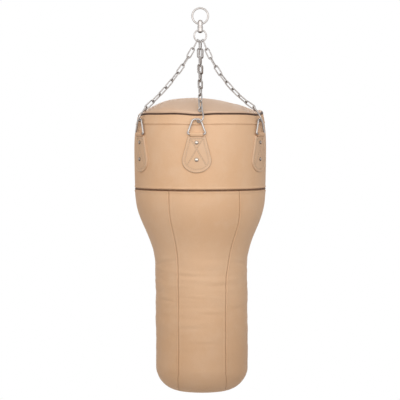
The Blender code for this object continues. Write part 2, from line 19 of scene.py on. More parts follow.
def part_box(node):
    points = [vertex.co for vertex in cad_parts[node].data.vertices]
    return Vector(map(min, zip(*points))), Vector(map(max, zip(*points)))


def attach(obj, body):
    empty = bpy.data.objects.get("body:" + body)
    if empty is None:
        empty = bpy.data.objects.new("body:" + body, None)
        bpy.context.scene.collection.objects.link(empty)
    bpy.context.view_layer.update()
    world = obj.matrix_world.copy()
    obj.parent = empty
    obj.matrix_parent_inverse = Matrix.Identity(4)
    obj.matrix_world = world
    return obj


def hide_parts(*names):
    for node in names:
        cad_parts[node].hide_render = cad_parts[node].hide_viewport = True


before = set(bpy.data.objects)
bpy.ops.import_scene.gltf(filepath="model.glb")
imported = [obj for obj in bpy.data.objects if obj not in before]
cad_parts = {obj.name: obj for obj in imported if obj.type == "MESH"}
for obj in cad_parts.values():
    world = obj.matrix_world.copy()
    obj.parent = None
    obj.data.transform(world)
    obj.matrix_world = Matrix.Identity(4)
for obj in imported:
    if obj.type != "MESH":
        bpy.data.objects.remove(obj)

LOG = logging.getLogger("punching_bag")
UP = Vector((0.0, 0.0, 1.0))

# The gap between pieces that touch, and the gap between wires that hang in one another.
GAP, WIRE_GAP = 0.0003, 0.0008
TOP_RING_RADIUS, TOP_RING_WIRE = 0.030, 0.0075
LOWER_RING_RADIUS, LOWER_RING_WIRE = 0.023, 0.006

Outline = list[tuple[float, float]]
Colour = tuple[float, float, float]
Material = bpy.types.Material
Mesh = bmesh.types.BMesh
Socket = bpy.types.NodeSocket


class Body(Enum):
    """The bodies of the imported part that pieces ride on."""

    HANGER = "hanger"
    SWIVEL_TOP = "swivel_top"
    SWIVEL_BOTTOM = "swivel_bottom"
    CHAIN_RING = "chain_ring"
    BAG = "bag"


class Slot(Enum):
    """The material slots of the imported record."""

    STEEL = "steel"
    LEATHER = "leather"
    LID_LEATHER = "lid_leather"
    PIPING = "piping"
    TEXTILE = "textile"


# ---- Finishes


class Wiring:
    """The nodes laid out in a material or a world."""

    def __init__(self, owner: bpy.types.ID) -> None:
        """Takes up the nodes of a material or a world."""
        owner.use_nodes = True
        self.tree = owner.node_tree

    def add(self, kind: str, inputs: dict[str | int, object] | None = None,
            **settings: object) -> bpy.types.Node:
        """Adds a node.

        Args:
            kind: Blender's name of the node, after ShaderNode.
            inputs: What its sockets get: a value, or another node's output.
            **settings: Its properties.

        Returns:
            The node.
        """
        node = self.tree.nodes.new(f"ShaderNode{kind}")
        for key, value in settings.items():
            setattr(node, key, value)
        for key, source in (inputs or {}).items():
            self.feed(node.inputs[key], source)
        return node

    def feed(self, socket: Socket, source: object) -> None:
        """Gives a socket a value or joins it to another node's output."""
        if isinstance(source, Socket):
            self.tree.links.new(source, socket)
        else:
            socket.default_value = source


class Finish(Wiring):
    """A new material with one shader, and the patterns that feed it."""

    def __init__(self, name: str) -> None:
        """Makes the material.

        Args:
            name: The material's name.
        """
        self.material = bpy.data.materials.new(name)
        super().__init__(self.material)
        self.place = self.add("TexCoord").outputs["Object"]

    def stretched(self, scale: Sequence[float]) -> Socket:
        """Gives the object's coordinates scaled along each axis."""
        return self.add("Mapping", {"Vector": self.place, "Scale": scale}).outputs["Vector"]

    def bent(self, scale: float, reach: float) -> Socket:
        """Gives the object's coordinates, pushed about by a noise."""
        jitter = self.add("TexNoise", {"Vector": self.place, "Scale": scale}).outputs["Color"]
        push = self.add("VectorMath", {0: jitter, "Scale": reach}, operation="SCALE").outputs["Vector"]
        return self.add("VectorMath", {0: self.place, 1: push}, operation="ADD").outputs["Vector"]

    def cloud(self, scale: float, detail: float = 3.0, rough: float = 0.55,
              vector: Socket | None = None) -> Socket:
        """Gives a soft noise between 0 and 1.

        Args:
            scale: Waves in a metre.
            detail: Octaves.
            rough: How strong the small octaves are.
            vector: Coordinates other than the object's own.

        Returns:
            The noise.
        """
        inputs = {"Vector": vector or self.place, "Scale": scale, "Detail": detail, "Roughness": rough}
        return self.add("TexNoise", inputs).outputs["Fac"]

    def cells(self, scale: float, feature: str = "F1", vector: Socket | None = None) -> Socket:
        """Gives the distance in a pattern of cells."""
        inputs = {"Vector": vector or self.place, "Scale": scale}
        return self.add("TexVoronoi", inputs, feature=feature).outputs["Distance"]

    def spread(self, source: Socket, low: float, high: float,
               first: float = 0.0, last: float = 1.0) -> Socket:
        """Maps the range low to high onto first to last, clamped."""
        inputs = {"Value": source, "From Min": low, "From Max": high, "To Min": first, "To Max": last}
        return self.add("MapRange", inputs).outputs["Result"]

    def sum(self, *sources: object, operation: str = "ADD") -> Socket:
        """Adds up, or multiplies, several values."""
        result = sources[0]
        for source in sources[1:]:
            result = self.add("Math", {0: result, 1: source}, operation=operation).outputs["Value"]
        return result

    def times(self, source: Socket, factor: float) -> Socket:
        """Multiplies a value by a factor."""
        return self.sum(source, factor, operation="MULTIPLY")

    def blend(self, share: object, first: object, second: object,
              mode: str = "MIX") -> Socket:
        """Mixes two colours by a share."""
        node = self.add("Mix", {"Factor": share}, data_type="RGBA", blend_type=mode)
        sockets = [s for s in node.inputs if s.type == "RGBA"]
        for socket, colour in zip(sockets, (first, second)):
            self.feed(socket, colour if isinstance(colour, Socket) else (*colour, 1.0))
        return [s for s in node.outputs if s.type == "RGBA"][0]

    def mark(self, name: str) -> Socket:
        """Gives a value that is written at each vertex."""
        return self.add("Attribute", attribute_name=name).outputs["Fac"]

    def relief(self, height: Socket, depth: float, strength: float = 1.0,
               below: Socket | None = None) -> Socket:
        """Turns a height into a bumpy surface."""
        inputs = {"Strength": strength, "Distance": depth, "Height": height}
        return self.add("Bump", inputs | ({"Normal": below} if below else {})).outputs["Normal"]

    def set(self, **values: object) -> None:
        """Sets sockets of the shader, written with _ for a space."""
        shader = self.tree.nodes["Principled BSDF"]
        for key, value in values.items():
            self.feed(shader.inputs[key.replace("_", " ")], value)


@dataclass(frozen=True)
class LeatherFinish:
    """Natural leather: mottled colour, pebbled grain, pores, and painted shade in its creases and towards the
    bag's bottom.

    A layer of mottling is its waves in a metre, its octaves and how strong the small ones are.
    """

    name: str = "natural_leather"
    colour: Colour = (0.762, 0.488, 0.298)
    warm: Colour = (0.735, 0.446, 0.254)
    pale: Colour = (0.790, 0.542, 0.358)
    # The dark brown of the grain's cell edges and of the painted shade in creases.
    crease: Colour = (0.215, 0.095, 0.045)
    # The colour of the painted shade towards the bag's bottom.
    bottom_shade: Colour = (0.450, 0.235, 0.110)
    bottom_shade_share: float = 0.30
    crease_shade_share: float = 0.75
    roughness: float = 0.56
    mottle: tuple[tuple[float, float, float], ...] = ((2.6, 3.0, 0.5), (14.0, 5.0, 0.62), (75.0, 4.0, 0.6))
    grain: float = 520.0
    grain_bend: tuple[float, float] = (240.0, 0.0016)
    grain_depth: float = 0.00028
    pores: float = 322.4
    hide: tuple[float, float, float] = (30.0, 4.0, 0.6)
    hide_depth: float = 0.0016

    def material(self) -> Material:
        """Makes the leather's material."""
        w = Finish(self.name)
        broad, patch, fine = (w.cloud(*layer) for layer in self.mottle)
        tone = w.blend(w.spread(broad, 0.38, 0.66), self.colour, self.warm)
        tone = w.blend(w.spread(patch, 0.46, 0.78, 0.0, 0.55), tone, self.pale)
        pebble = w.spread(w.cells(self.grain, "DISTANCE_TO_EDGE", w.bent(*self.grain_bend)), 0.0, 0.22)
        pore = w.spread(w.cells(self.pores), 0.05, 0.16)
        tone = w.blend(w.spread(pebble, 0.0, 1.0, 0.10, 0.0), tone, self.crease)
        tone = w.blend(w.spread(fine, 0.55, 0.85, 0.0, 0.16), tone, self.warm)
        # Painted shade towards the bag's bottom, from the value marked at each vertex.
        tone = w.blend(w.times(w.mark("bottom_shade"), self.bottom_shade_share), tone, self.bottom_shade)
        # Painted shade in creases, seams and grooves, from the value marked at each vertex.
        tone = w.blend(w.times(w.mark("crease"), self.crease_shade_share), tone, self.crease)
        height = w.sum(w.times(pebble, 0.6), w.times(pore, 0.4), w.times(fine, 0.9))
        hide = w.relief(w.cloud(*self.hide), self.hide_depth, 0.35)
        rough = w.sum(w.spread(patch, 0.3, 0.75, self.roughness - 0.05, self.roughness + 0.05),
                      w.spread(pebble, 0.0, 1.0, 0.06, 0.0))
        w.set(Base_Color=tone, Roughness=rough, Normal=w.relief(height, self.grain_depth, 0.6, hide),
              Specular_IOR_Level=0.26)
        return w.material


@dataclass(frozen=True)
class PipingFinish:
    """Dark brown leather over a cord, worn lighter in places."""

    name: str = "brown_piping"
    colour: Colour = (0.078, 0.042, 0.030)
    worn: Colour = (0.190, 0.110, 0.075)
    roughness: float = 0.55

    def material(self) -> Material:
        """Makes the piping's material."""
        w = Finish(self.name)
        wear = w.cloud(60.0, 5.0, 0.65)
        grain = w.cells(900.0, "DISTANCE_TO_EDGE")
        tone = w.blend(w.spread(wear, 0.5, 0.8, 0.0, 0.7), self.colour, self.worn)
        height = w.sum(w.spread(grain, 0.0, 0.2), wear)
        w.set(Base_Color=tone, Roughness=w.spread(wear, 0.3, 0.8, self.roughness, self.roughness + 0.15),
              Normal=w.relief(height, 0.0003, 0.5), Specular_IOR_Level=0.2)
        return w.material


@dataclass(frozen=True)
class SteelFinish:
    """Nickel-plated steel with fine scratches and cloudy tarnish spots, and painted shade where it is marked.
    """

    name: str = "nickel_steel"
    colour: Colour = (0.395, 0.368, 0.352)
    tarnish_and_shade: Colour = (0.100, 0.070, 0.054)
    roughness: float = 0.34

    def material(self) -> Material:
        """Makes the steel's material."""
        w = Finish(self.name)
        spots = w.cloud(60.0, 4.0, 0.60)
        haze = w.cloud(45.0, 3.0, 0.5)
        scratch = w.cloud(900.0, 2.0, 0.5, w.stretched((1.0, 1.0, 0.12)))
        tone = w.blend(w.spread(spots, 0.46, 0.78, 0.0, 0.34), self.colour, self.tarnish_and_shade)
        # Painted shade from the marked vertices: at the barrel's foot, where links meet and on the rivets.
        tone = w.blend(w.mark("tarnish_and_shade"), tone, self.tarnish_and_shade)
        rough = w.sum(w.spread(haze, 0.35, 0.7, self.roughness - 0.05, self.roughness + 0.10),
                      w.spread(spots, 0.56, 0.74, 0.0, 0.2))
        height = w.sum(w.times(scratch, 0.3), spots)
        w.set(Base_Color=tone, Roughness=rough, Normal=w.relief(height, 0.00012, 0.5), Metallic=1.0)
        return w.material


@dataclass(frozen=True)
class ThreadFinish:
    """Waxed sewing thread with its twist."""

    name: str = "waxed_thread"
    colour: Colour = (0.82, 0.68, 0.53)
    shade: Colour = (0.60, 0.43, 0.29)

    def material(self) -> Material:
        """Makes the thread's material."""
        w = Finish(self.name)
        twist = w.add("TexWave", {"Vector": w.place, "Scale": 420.0, "Distortion": 1.5}, wave_type="BANDS",
                      bands_direction="DIAGONAL").outputs["Fac"]
        tone = w.blend(w.spread(twist, 0.2, 0.9), self.shade, self.colour)
        w.set(Base_Color=tone, Normal=w.relief(twist, 0.00015, 0.6),
              Roughness=w.spread(w.cloud(300.0), 0.3, 0.7, 0.55, 0.75))
        return w.material


@dataclass(frozen=True)
class CanvasFinish:
    """Packed textile filling, in pale and grey shreds."""

    name: str = "packed_textile"
    pale: Colour = (0.52, 0.50, 0.47)
    dark: Colour = (0.16, 0.16, 0.18)

    def material(self) -> Material:
        """Makes the filling's material."""
        w = Finish(self.name)
        shreds = w.cells(60.0)
        fuzz = w.cloud(400.0, 5.0, 0.7)
        tone = w.blend(w.spread(shreds, 0.2, 0.6), self.pale, self.dark)
        w.set(Base_Color=tone, Roughness=0.95, Normal=w.relief(w.sum(shreds, fuzz), 0.002, 0.8))
        return w.material


@dataclass
class Palette:
    """The finishes of the whole bag, each made once."""

    leather: Material = field(default_factory=LeatherFinish().material)
    lid: Material = field(default_factory=LeatherFinish(
        name="lid_leather", colour=(0.720, 0.500, 0.350), warm=(0.690, 0.455, 0.300),
        pale=(0.750, 0.545, 0.405), roughness=0.60).material)
    piping: Material = field(default_factory=PipingFinish().material)
    worn_piping: Material = field(default_factory=PipingFinish(
        name="worn_piping", colour=(0.180, 0.086, 0.046), worn=(0.360, 0.205, 0.120)).material)
    steel: Material = field(default_factory=SteelFinish().material)
    rivet: Material = field(default_factory=SteelFinish(
        name="rivet_steel", colour=(0.530, 0.475, 0.415), roughness=0.32).material)
    thread: Material = field(default_factory=ThreadFinish().material)
    tab: Material = field(default_factory=LeatherFinish(
        name="tab_leather", colour=(0.715, 0.475, 0.305), warm=(0.690, 0.440, 0.265),
        pale=(0.745, 0.520, 0.360)).material)
    tan_thread: Material = field(default_factory=ThreadFinish(
        name="tan_thread", colour=(0.690, 0.440, 0.265), shade=(0.480, 0.280, 0.155)).material)
    canvas: Material = field(default_factory=CanvasFinish().material)


# ---- Shared making


@dataclass
class Maker:
    """Turns meshes into finished pieces that ride on a body."""

    palette: Palette
    count: int = 0

    def piece(self, name: str, bm: Mesh, material: Material, slot: Slot,
              stands_for: Iterable[str] = (), body: Body = Body.BAG, sharp: float = 50.0) -> None:
        """Makes a piece of a bmesh, in the frame's own coordinates.

        Args:
            name: The piece's name.
            bm: Its mesh, which is freed.
            material: Its finish.
            slot: The record's slot of its finish; not used.
            stands_for: The CAD nodes that it replaces.
            body: The body it rides on.
            sharp: The angle past which an edge is shaded sharp.
        """
        mesh = bpy.data.meshes.new(name)
        bm.to_mesh(mesh)
        bm.free()
        mesh.materials.append(material)
        mesh.shade_smooth()
        mesh.set_sharp_from_angle(angle=math.radians(sharp))
        obj = placed(name, mesh)
        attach(obj, body.value)
        nodes = list(stands_for)
        if nodes:
            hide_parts(*nodes)
        self.count += 1
        LOG.info("%s: %d faces", name, len(mesh.polygons))


def placed(name: str, data: bpy.types.ID) -> bpy.types.Object:
    """Puts an object with the given data into the scene, at the origin."""
    obj = bpy.data.objects.new(name, data)
    bpy.context.scene.collection.objects.link(obj)
    return obj


def face_out(bm: Mesh) -> None:
    """Turns a mesh's faces outwards."""
    bmesh.ops.recalc_face_normals(bm, faces=bm.faces[:])


def mark(bm: Mesh, name: str, value: Callable[[Vector], float]) -> None:
    """Writes a value at each vertex, for the finish to read."""
    layer = bm.verts.layers.float.new(name)
    for vertex in bm.verts:
        vertex[layer] = value(vertex.co)


def arc(centre: tuple[float, float], radius: float, first: float, last: float, count: int,
        rise: float | None = None) -> Outline:
    """Gives points on an arc of a circle or an ellipse.

    Args:
        centre: Its centre.
        radius: Its radius, or the ellipse's first half axis.
        first: The first point's angle in degrees.
        last: The last point's angle.
        count: The number of points.
        rise: The ellipse's second half axis.

    Returns:
        The points.
    """
    angles = [math.radians(first + (last - first) * i / (count - 1)) for i in range(count)]
    second = radius if rise is None else rise
    return [(centre[0] + radius * math.cos(a), centre[1] + second * math.sin(a)) for a in angles]


def spun(profile: Outline, steps: int, closed: bool = True) -> Mesh:
    """Spins a (radius, height) profile about the upright axis.

    One sector is spun and then copied round, which is much quicker than one long spin.

    Args:
        profile: The profile, from the outer top down and back up inside.
        steps: The number of steps round the axis.
        closed: Whether the last point joins the first one.

    Returns:
        The mesh, closed at the poles and with its faces outwards.
    """
    bm = bmesh.new()
    points = [bm.verts.new((radius, 0.0, height)) for radius, height in profile]
    edges = [bm.edges.new(pair) for pair in zip(points, points[1:])]
    if closed:
        edges.append(bm.edges.new((points[-1], points[0])))
    sectors = max(n for n in range(1, int(steps ** 0.5) + 1) if steps % n == 0)
    about = {"cent": (0, 0, 0), "axis": (0, 0, 1)}
    bmesh.ops.spin(bm, geom=points + edges, angle=2 * math.pi / sectors, steps=steps // sectors, **about)
    if sectors > 1:
        bmesh.ops.spin(bm, geom=bm.verts[:] + bm.edges[:] + bm.faces[:], steps=sectors - 1,
                       angle=2 * math.pi * (sectors - 1) / sectors, use_duplicate=True, **about)
    bmesh.ops.remove_doubles(bm, verts=bm.verts[:], dist=1e-5)
    face_out(bm)
    return bm


def wire_mesh(points: Sequence[Vector], thickness: float, cyclic: bool = True,
              swell: Sequence[float] | None = None, sides: int = 4) -> Mesh:
    """Makes a round wire along a path.

    Args:
        points: The path.
        thickness: The wire's diameter.
        cyclic: Whether the path closes.
        swell: The thickness at each point as a share of the wire's.
        sides: The bevel resolution, which gives 2 * sides + 4 sides.

    Returns:
        The wire's mesh.
    """
    curve = bpy.data.curves.new("wire", "CURVE")
    curve.dimensions = "3D"
    curve.bevel_depth = thickness / 2
    curve.bevel_resolution = sides
    curve.use_fill_caps = True
    spline = curve.splines.new("POLY")
    spline.points.add(len(points) - 1)
    for i, (knot, place) in enumerate(zip(spline.points, points)):
        knot.co = (*place, 1.0)
        knot.radius = swell[i] if swell else 1.0
    spline.use_cyclic_u = cyclic
    holder = placed("wire", curve)
    bm = evaluated(holder)
    bpy.data.objects.remove(holder, do_unlink=True)
    bpy.data.curves.remove(curve)
    bmesh.ops.remove_doubles(bm, verts=bm.verts[:], dist=1e-6)
    face_out(bm)
    return bm


def evaluated(holder: bpy.types.Object) -> Mesh:
    """Gives the mesh of an object with its modifiers or its bevel applied."""
    mesh = bpy.data.meshes.new_from_object(holder.evaluated_get(bpy.context.evaluated_depsgraph_get()))
    bm = bmesh.new()
    bm.from_mesh(mesh)
    bpy.data.meshes.remove(mesh)
    return bm


def placing(origin: Vector, x_axis: Vector, z_axis: Vector) -> Matrix:
    """Gives the placing of a piece from its origin, its x axis and its z axis."""
    turn = Matrix((x_axis, z_axis.cross(x_axis), z_axis)).transposed()
    return Matrix.Translation(origin) @ turn.to_4x4()


def swirl(place: Vector, scale: float, seed: float = 0.0) -> float:
    """Gives a soft noise between -1 and 1 at a place, with a wave of 1 / scale metres."""
    return noise.noise(place * scale + Vector((seed, seed * 1.7, -seed)))


def hump(distance: float, width: float) -> float:
    """Gives 1 at no distance, falling softly to 0 past the width."""
    return math.exp(-(distance / width) ** 2)


def clamp(value: float) -> float:
    """Gives a value, held between 0 and 1."""
    return min(max(value, 0.0), 1.0)


def turn_between(first: float, second: float) -> float:
    """Gives the difference of two azimuths, from -180 to 180."""
    return (first - second + 180.0) % 360.0 - 180.0


def around(azimuth: float, radius: float = 1.0, height: float = 0.0) -> Vector:
    """Gives the point at an azimuth, a distance from the upright axis and a height."""
    angle = math.radians(azimuth)
    return Vector((math.sin(angle) * radius, -math.cos(angle) * radius, height))


def polar(place: Vector) -> tuple[float, float]:
    """Gives a point's azimuth and its distance from the upright axis."""
    return math.degrees(math.atan2(place.x, -place.y)), math.hypot(place.x, place.y)


def off_run(point: Vector, first: Vector, last: Vector) -> float:
    """Gives a point's distance to a straight run."""
    run = last - first
    share = clamp((point - first).dot(run) / run.length_squared)
    return (first + run * share - point).length


# ---- Relief


@dataclass(frozen=True)
class Ridge:
    """A soft ridge along a line, or a groove where its height is below 0."""

    height: float
    middle: float
    reach: float

    def at(self, distance: float) -> float:
        """Gives its height at a distance across the line."""
        return self.height * hump(distance - self.middle, self.reach)


@dataclass(frozen=True)
class Ripple:
    """An unevenness of so many waves in a metre, which may keep to a line."""

    height: float
    waves: float
    seed: float
    middle: float = 0.0
    reach: float = math.inf

    def at(self, place: Vector, distance: float = 0.0) -> float:
        """Gives its height at a place that lies at a distance across the line."""
        return self.height * hump(distance - self.middle, self.reach) * swirl(place, self.waves, self.seed)


@dataclass(frozen=True)
class Wrinkle:
    """A slanting crease across the lower shell, with a low roll over it."""

    azimuth: float
    depth: float
    reach: float
    slope: float
    deep: float
    section: tuple[Ridge, ...] = (Ridge(1.0, 0.0, 0.0058), Ridge(-0.7, -0.0120, 0.0080))

    def at(self, azimuth: float, radius: float, depth: float) -> float:
        """Gives how deep it is at a point of the shell."""
        turn = turn_between(azimuth, self.azimuth)
        if abs(turn) > 2.5 * self.reach:
            return 0.0
        off = depth - self.depth - self.slope * math.radians(turn) * radius
        return self.deep * hump(turn, self.reach) * total(self.section, off)


@dataclass(frozen=True)
class LidCrease:
    """A short slanting crease in the lid."""

    deep: float
    x: float
    slope: float
    width: float
    y: float
    length: float

    def at(self, x: float, y: float) -> float:
        """Gives how deep it is at a point of the lid."""
        off = x - self.x - self.slope * (y - self.y)
        return self.deep * hump(off, self.width) * hump(y - self.y, self.length)


@dataclass(frozen=True)
class Spacing:
    """The steps between a mesh's rings: finest near an edge and growing away from it."""

    finest: float
    calm: float
    growth: float
    slack: float

    def rings(self, first: float, last: float, near: Callable[[float], float],
              widest: Callable[[float], float] = lambda level: math.inf) -> list[float]:
        """Gives the levels of the rings.

        Args:
            first: The first ring's level.
            last: The level past which there is none.
            near: Gives the distance of a level from the nearest edge.
            widest: Gives the widest step at a level.

        Returns:
            The levels.
        """
        levels = [first]
        while levels[-1] < last - self.slack:
            level = levels[-1]
            step = min(self.finest + max(near(level) - self.calm, 0.0) * self.growth, widest(level))
            levels.append(min(level + step, last))
        return levels


def total(shapes: Iterable[Ridge | Ripple], *where: object) -> float:
    """Adds up the heights of several ridges or ripples at one place."""
    return sum(shape.at(*where) for shape in shapes)


# ---- The bag's form


@dataclass
class BagForm:
    """The outer form of the bag, which its leather, sewing and pipings share.

    Heights are counted from the rim piping's middle, downwards as a depth. A dip of the rim is
    its azimuth, its depth and its width. A row of drift is a depth with the azimuths of the front
    panel's two seams there, and panel is what each of the six spans before it drifts.
    """

    rim_radius: float = 0.2355
    belly_radius: float = 0.250
    seam_radius: float = 0.247
    band_height: float = 0.2825
    belly_depth: float = 0.135
    roll_power: float = 2.6
    barrel_power: float = 2.0
    wall: float = 0.005
    lid_rise: float = 0.060
    lid_power: float = 2.1
    rim_piping: float = 0.0055
    seam_piping: float = 0.0044
    piping_proud: float = 0.0015
    neck_height: float = 0.308
    neck_skew: float = 0.028
    lower_radius: float = 0.1731
    bag_height: float = 1.0505
    base_rounding: float = 0.0923
    lean: float = 0.0065
    dips: tuple[tuple[float, float, float], ...] = (
        (-3.0, 0.0048, 0.046), (180.0, 0.0050, 0.046), (-82.0, 0.0085, 0.060), (63.0, 0.0038, 0.046),
        (96.0, -0.0085, 0.060))
    dip_reach: float = 0.045
    dip_reach_on_lid: float = 0.099
    dip_push: float = 0.0018
    rim_wave: Ripple = Ripple(0.0009, 2.3, 4.0)
    drift: tuple[tuple[float, float, float], ...] = (
        (0.28, -28.0, 35.5), (0.40, -29.5, 38.7), (0.435, -29.6, 38.6), (0.50, -29.8, 37.2),
        (0.55, -30.0, 35.9), (0.62, -30.3, 32.1), (0.72, -30.3, 31.2), (0.97, -30.6, 31.2),
        (1.0165, -35.5, 36.5), (1.0325, -40.0, 40.5), (1.0475, -49.0, 50.0))
    panel: float = 60.0
    seams: tuple[float, ...] = (-150.0, -90.0, -30.0, 30.0, 90.0, 150.0)
    rim_z: float = 0.0

    def __post_init__(self) -> None:
        """Takes the rim's height from the frame."""
        low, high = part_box("rim_piping")
        self.rim_z = (low.z + high.z) / 2

    def band_radius(self, depth: float) -> float:
        """Gives the band's plain radius at a depth."""
        if depth < self.belly_depth:
            share = (self.belly_depth - depth) / self.belly_depth
            return self.belly_radius - (self.belly_radius - self.rim_radius) * share ** self.roll_power
        share = (depth - self.belly_depth) / (self.band_height - self.belly_depth)
        return self.belly_radius - (self.belly_radius - self.seam_radius) * share ** self.barrel_power

    def neck_radius(self, depth: float) -> float:
        """Gives the lower shell's plain radius at a depth, above its round foot."""
        t = clamp((depth - self.band_height) / self.neck_height)
        u = t - self.neck_skew * math.sin(2 * math.pi * t)
        return self.lower_radius + (self.seam_radius - self.lower_radius) * (1 + math.cos(math.pi * u)) / 2

    def foot(self, inset: float, count: int) -> Outline:
        """Gives the round foot's profile, at an inset from the leather's outside."""
        middle = (self.lower_radius - self.base_rounding, self.base_rounding - self.bag_height)
        return arc(middle, self.base_rounding - inset, 0, -90, count)

    def drifted(self, azimuth: float, depth: float) -> float:
        """Gives where an azimuth of the cut panels lies at a depth, as their seams drift and spread."""
        depths, left, right = zip(*self.drift)
        first, last = float(np.interp(depth, depths, left)), float(np.interp(depth, depths, right))
        spread = (last - first - self.panel) / 2
        turned = math.sin(math.radians(2 * azimuth)) / math.sin(math.radians(self.panel))
        return azimuth + (first + last) / 2 + spread * turned

    def settle(self, azimuth: float, radius: float, height: float) -> Vector:
        """Places a point of the bag, with the rim pressed down at the hooks and the foot leaning.

        Args:
            azimuth: In degrees from the front towards +X.
            radius: Distance from the bag's axis.
            height: Height over the rim piping's middle.

        Returns:
            The point in the frame.
        """
        if height < 0:
            fall = hump(height, self.dip_reach)
        else:
            inwards = max(self.rim_radius - radius, 0.0) if height > 0 else 0.0
            fall = hump(inwards, self.dip_reach_on_lid)
        share = min(radius / self.rim_radius, 1.0)
        level = around(azimuth)
        drop, push = self.rim_wave.at(level), 0.0
        for middle, depth, width in self.dips:
            near = hump(math.radians(turn_between(azimuth, middle)) * self.rim_radius, width)
            drop += depth * near
            push += self.dip_push * near if depth > 0 else 0.0
        place = level * (radius - push * fall * share) + UP * (self.rim_z + height - drop * fall * share)
        down = clamp((-height - self.band_height) / (self.bag_height - self.band_height))
        place.x += self.lean * down * (2 - down)
        return place


Skin = Callable[[float, float, float], tuple[float, float, float]]


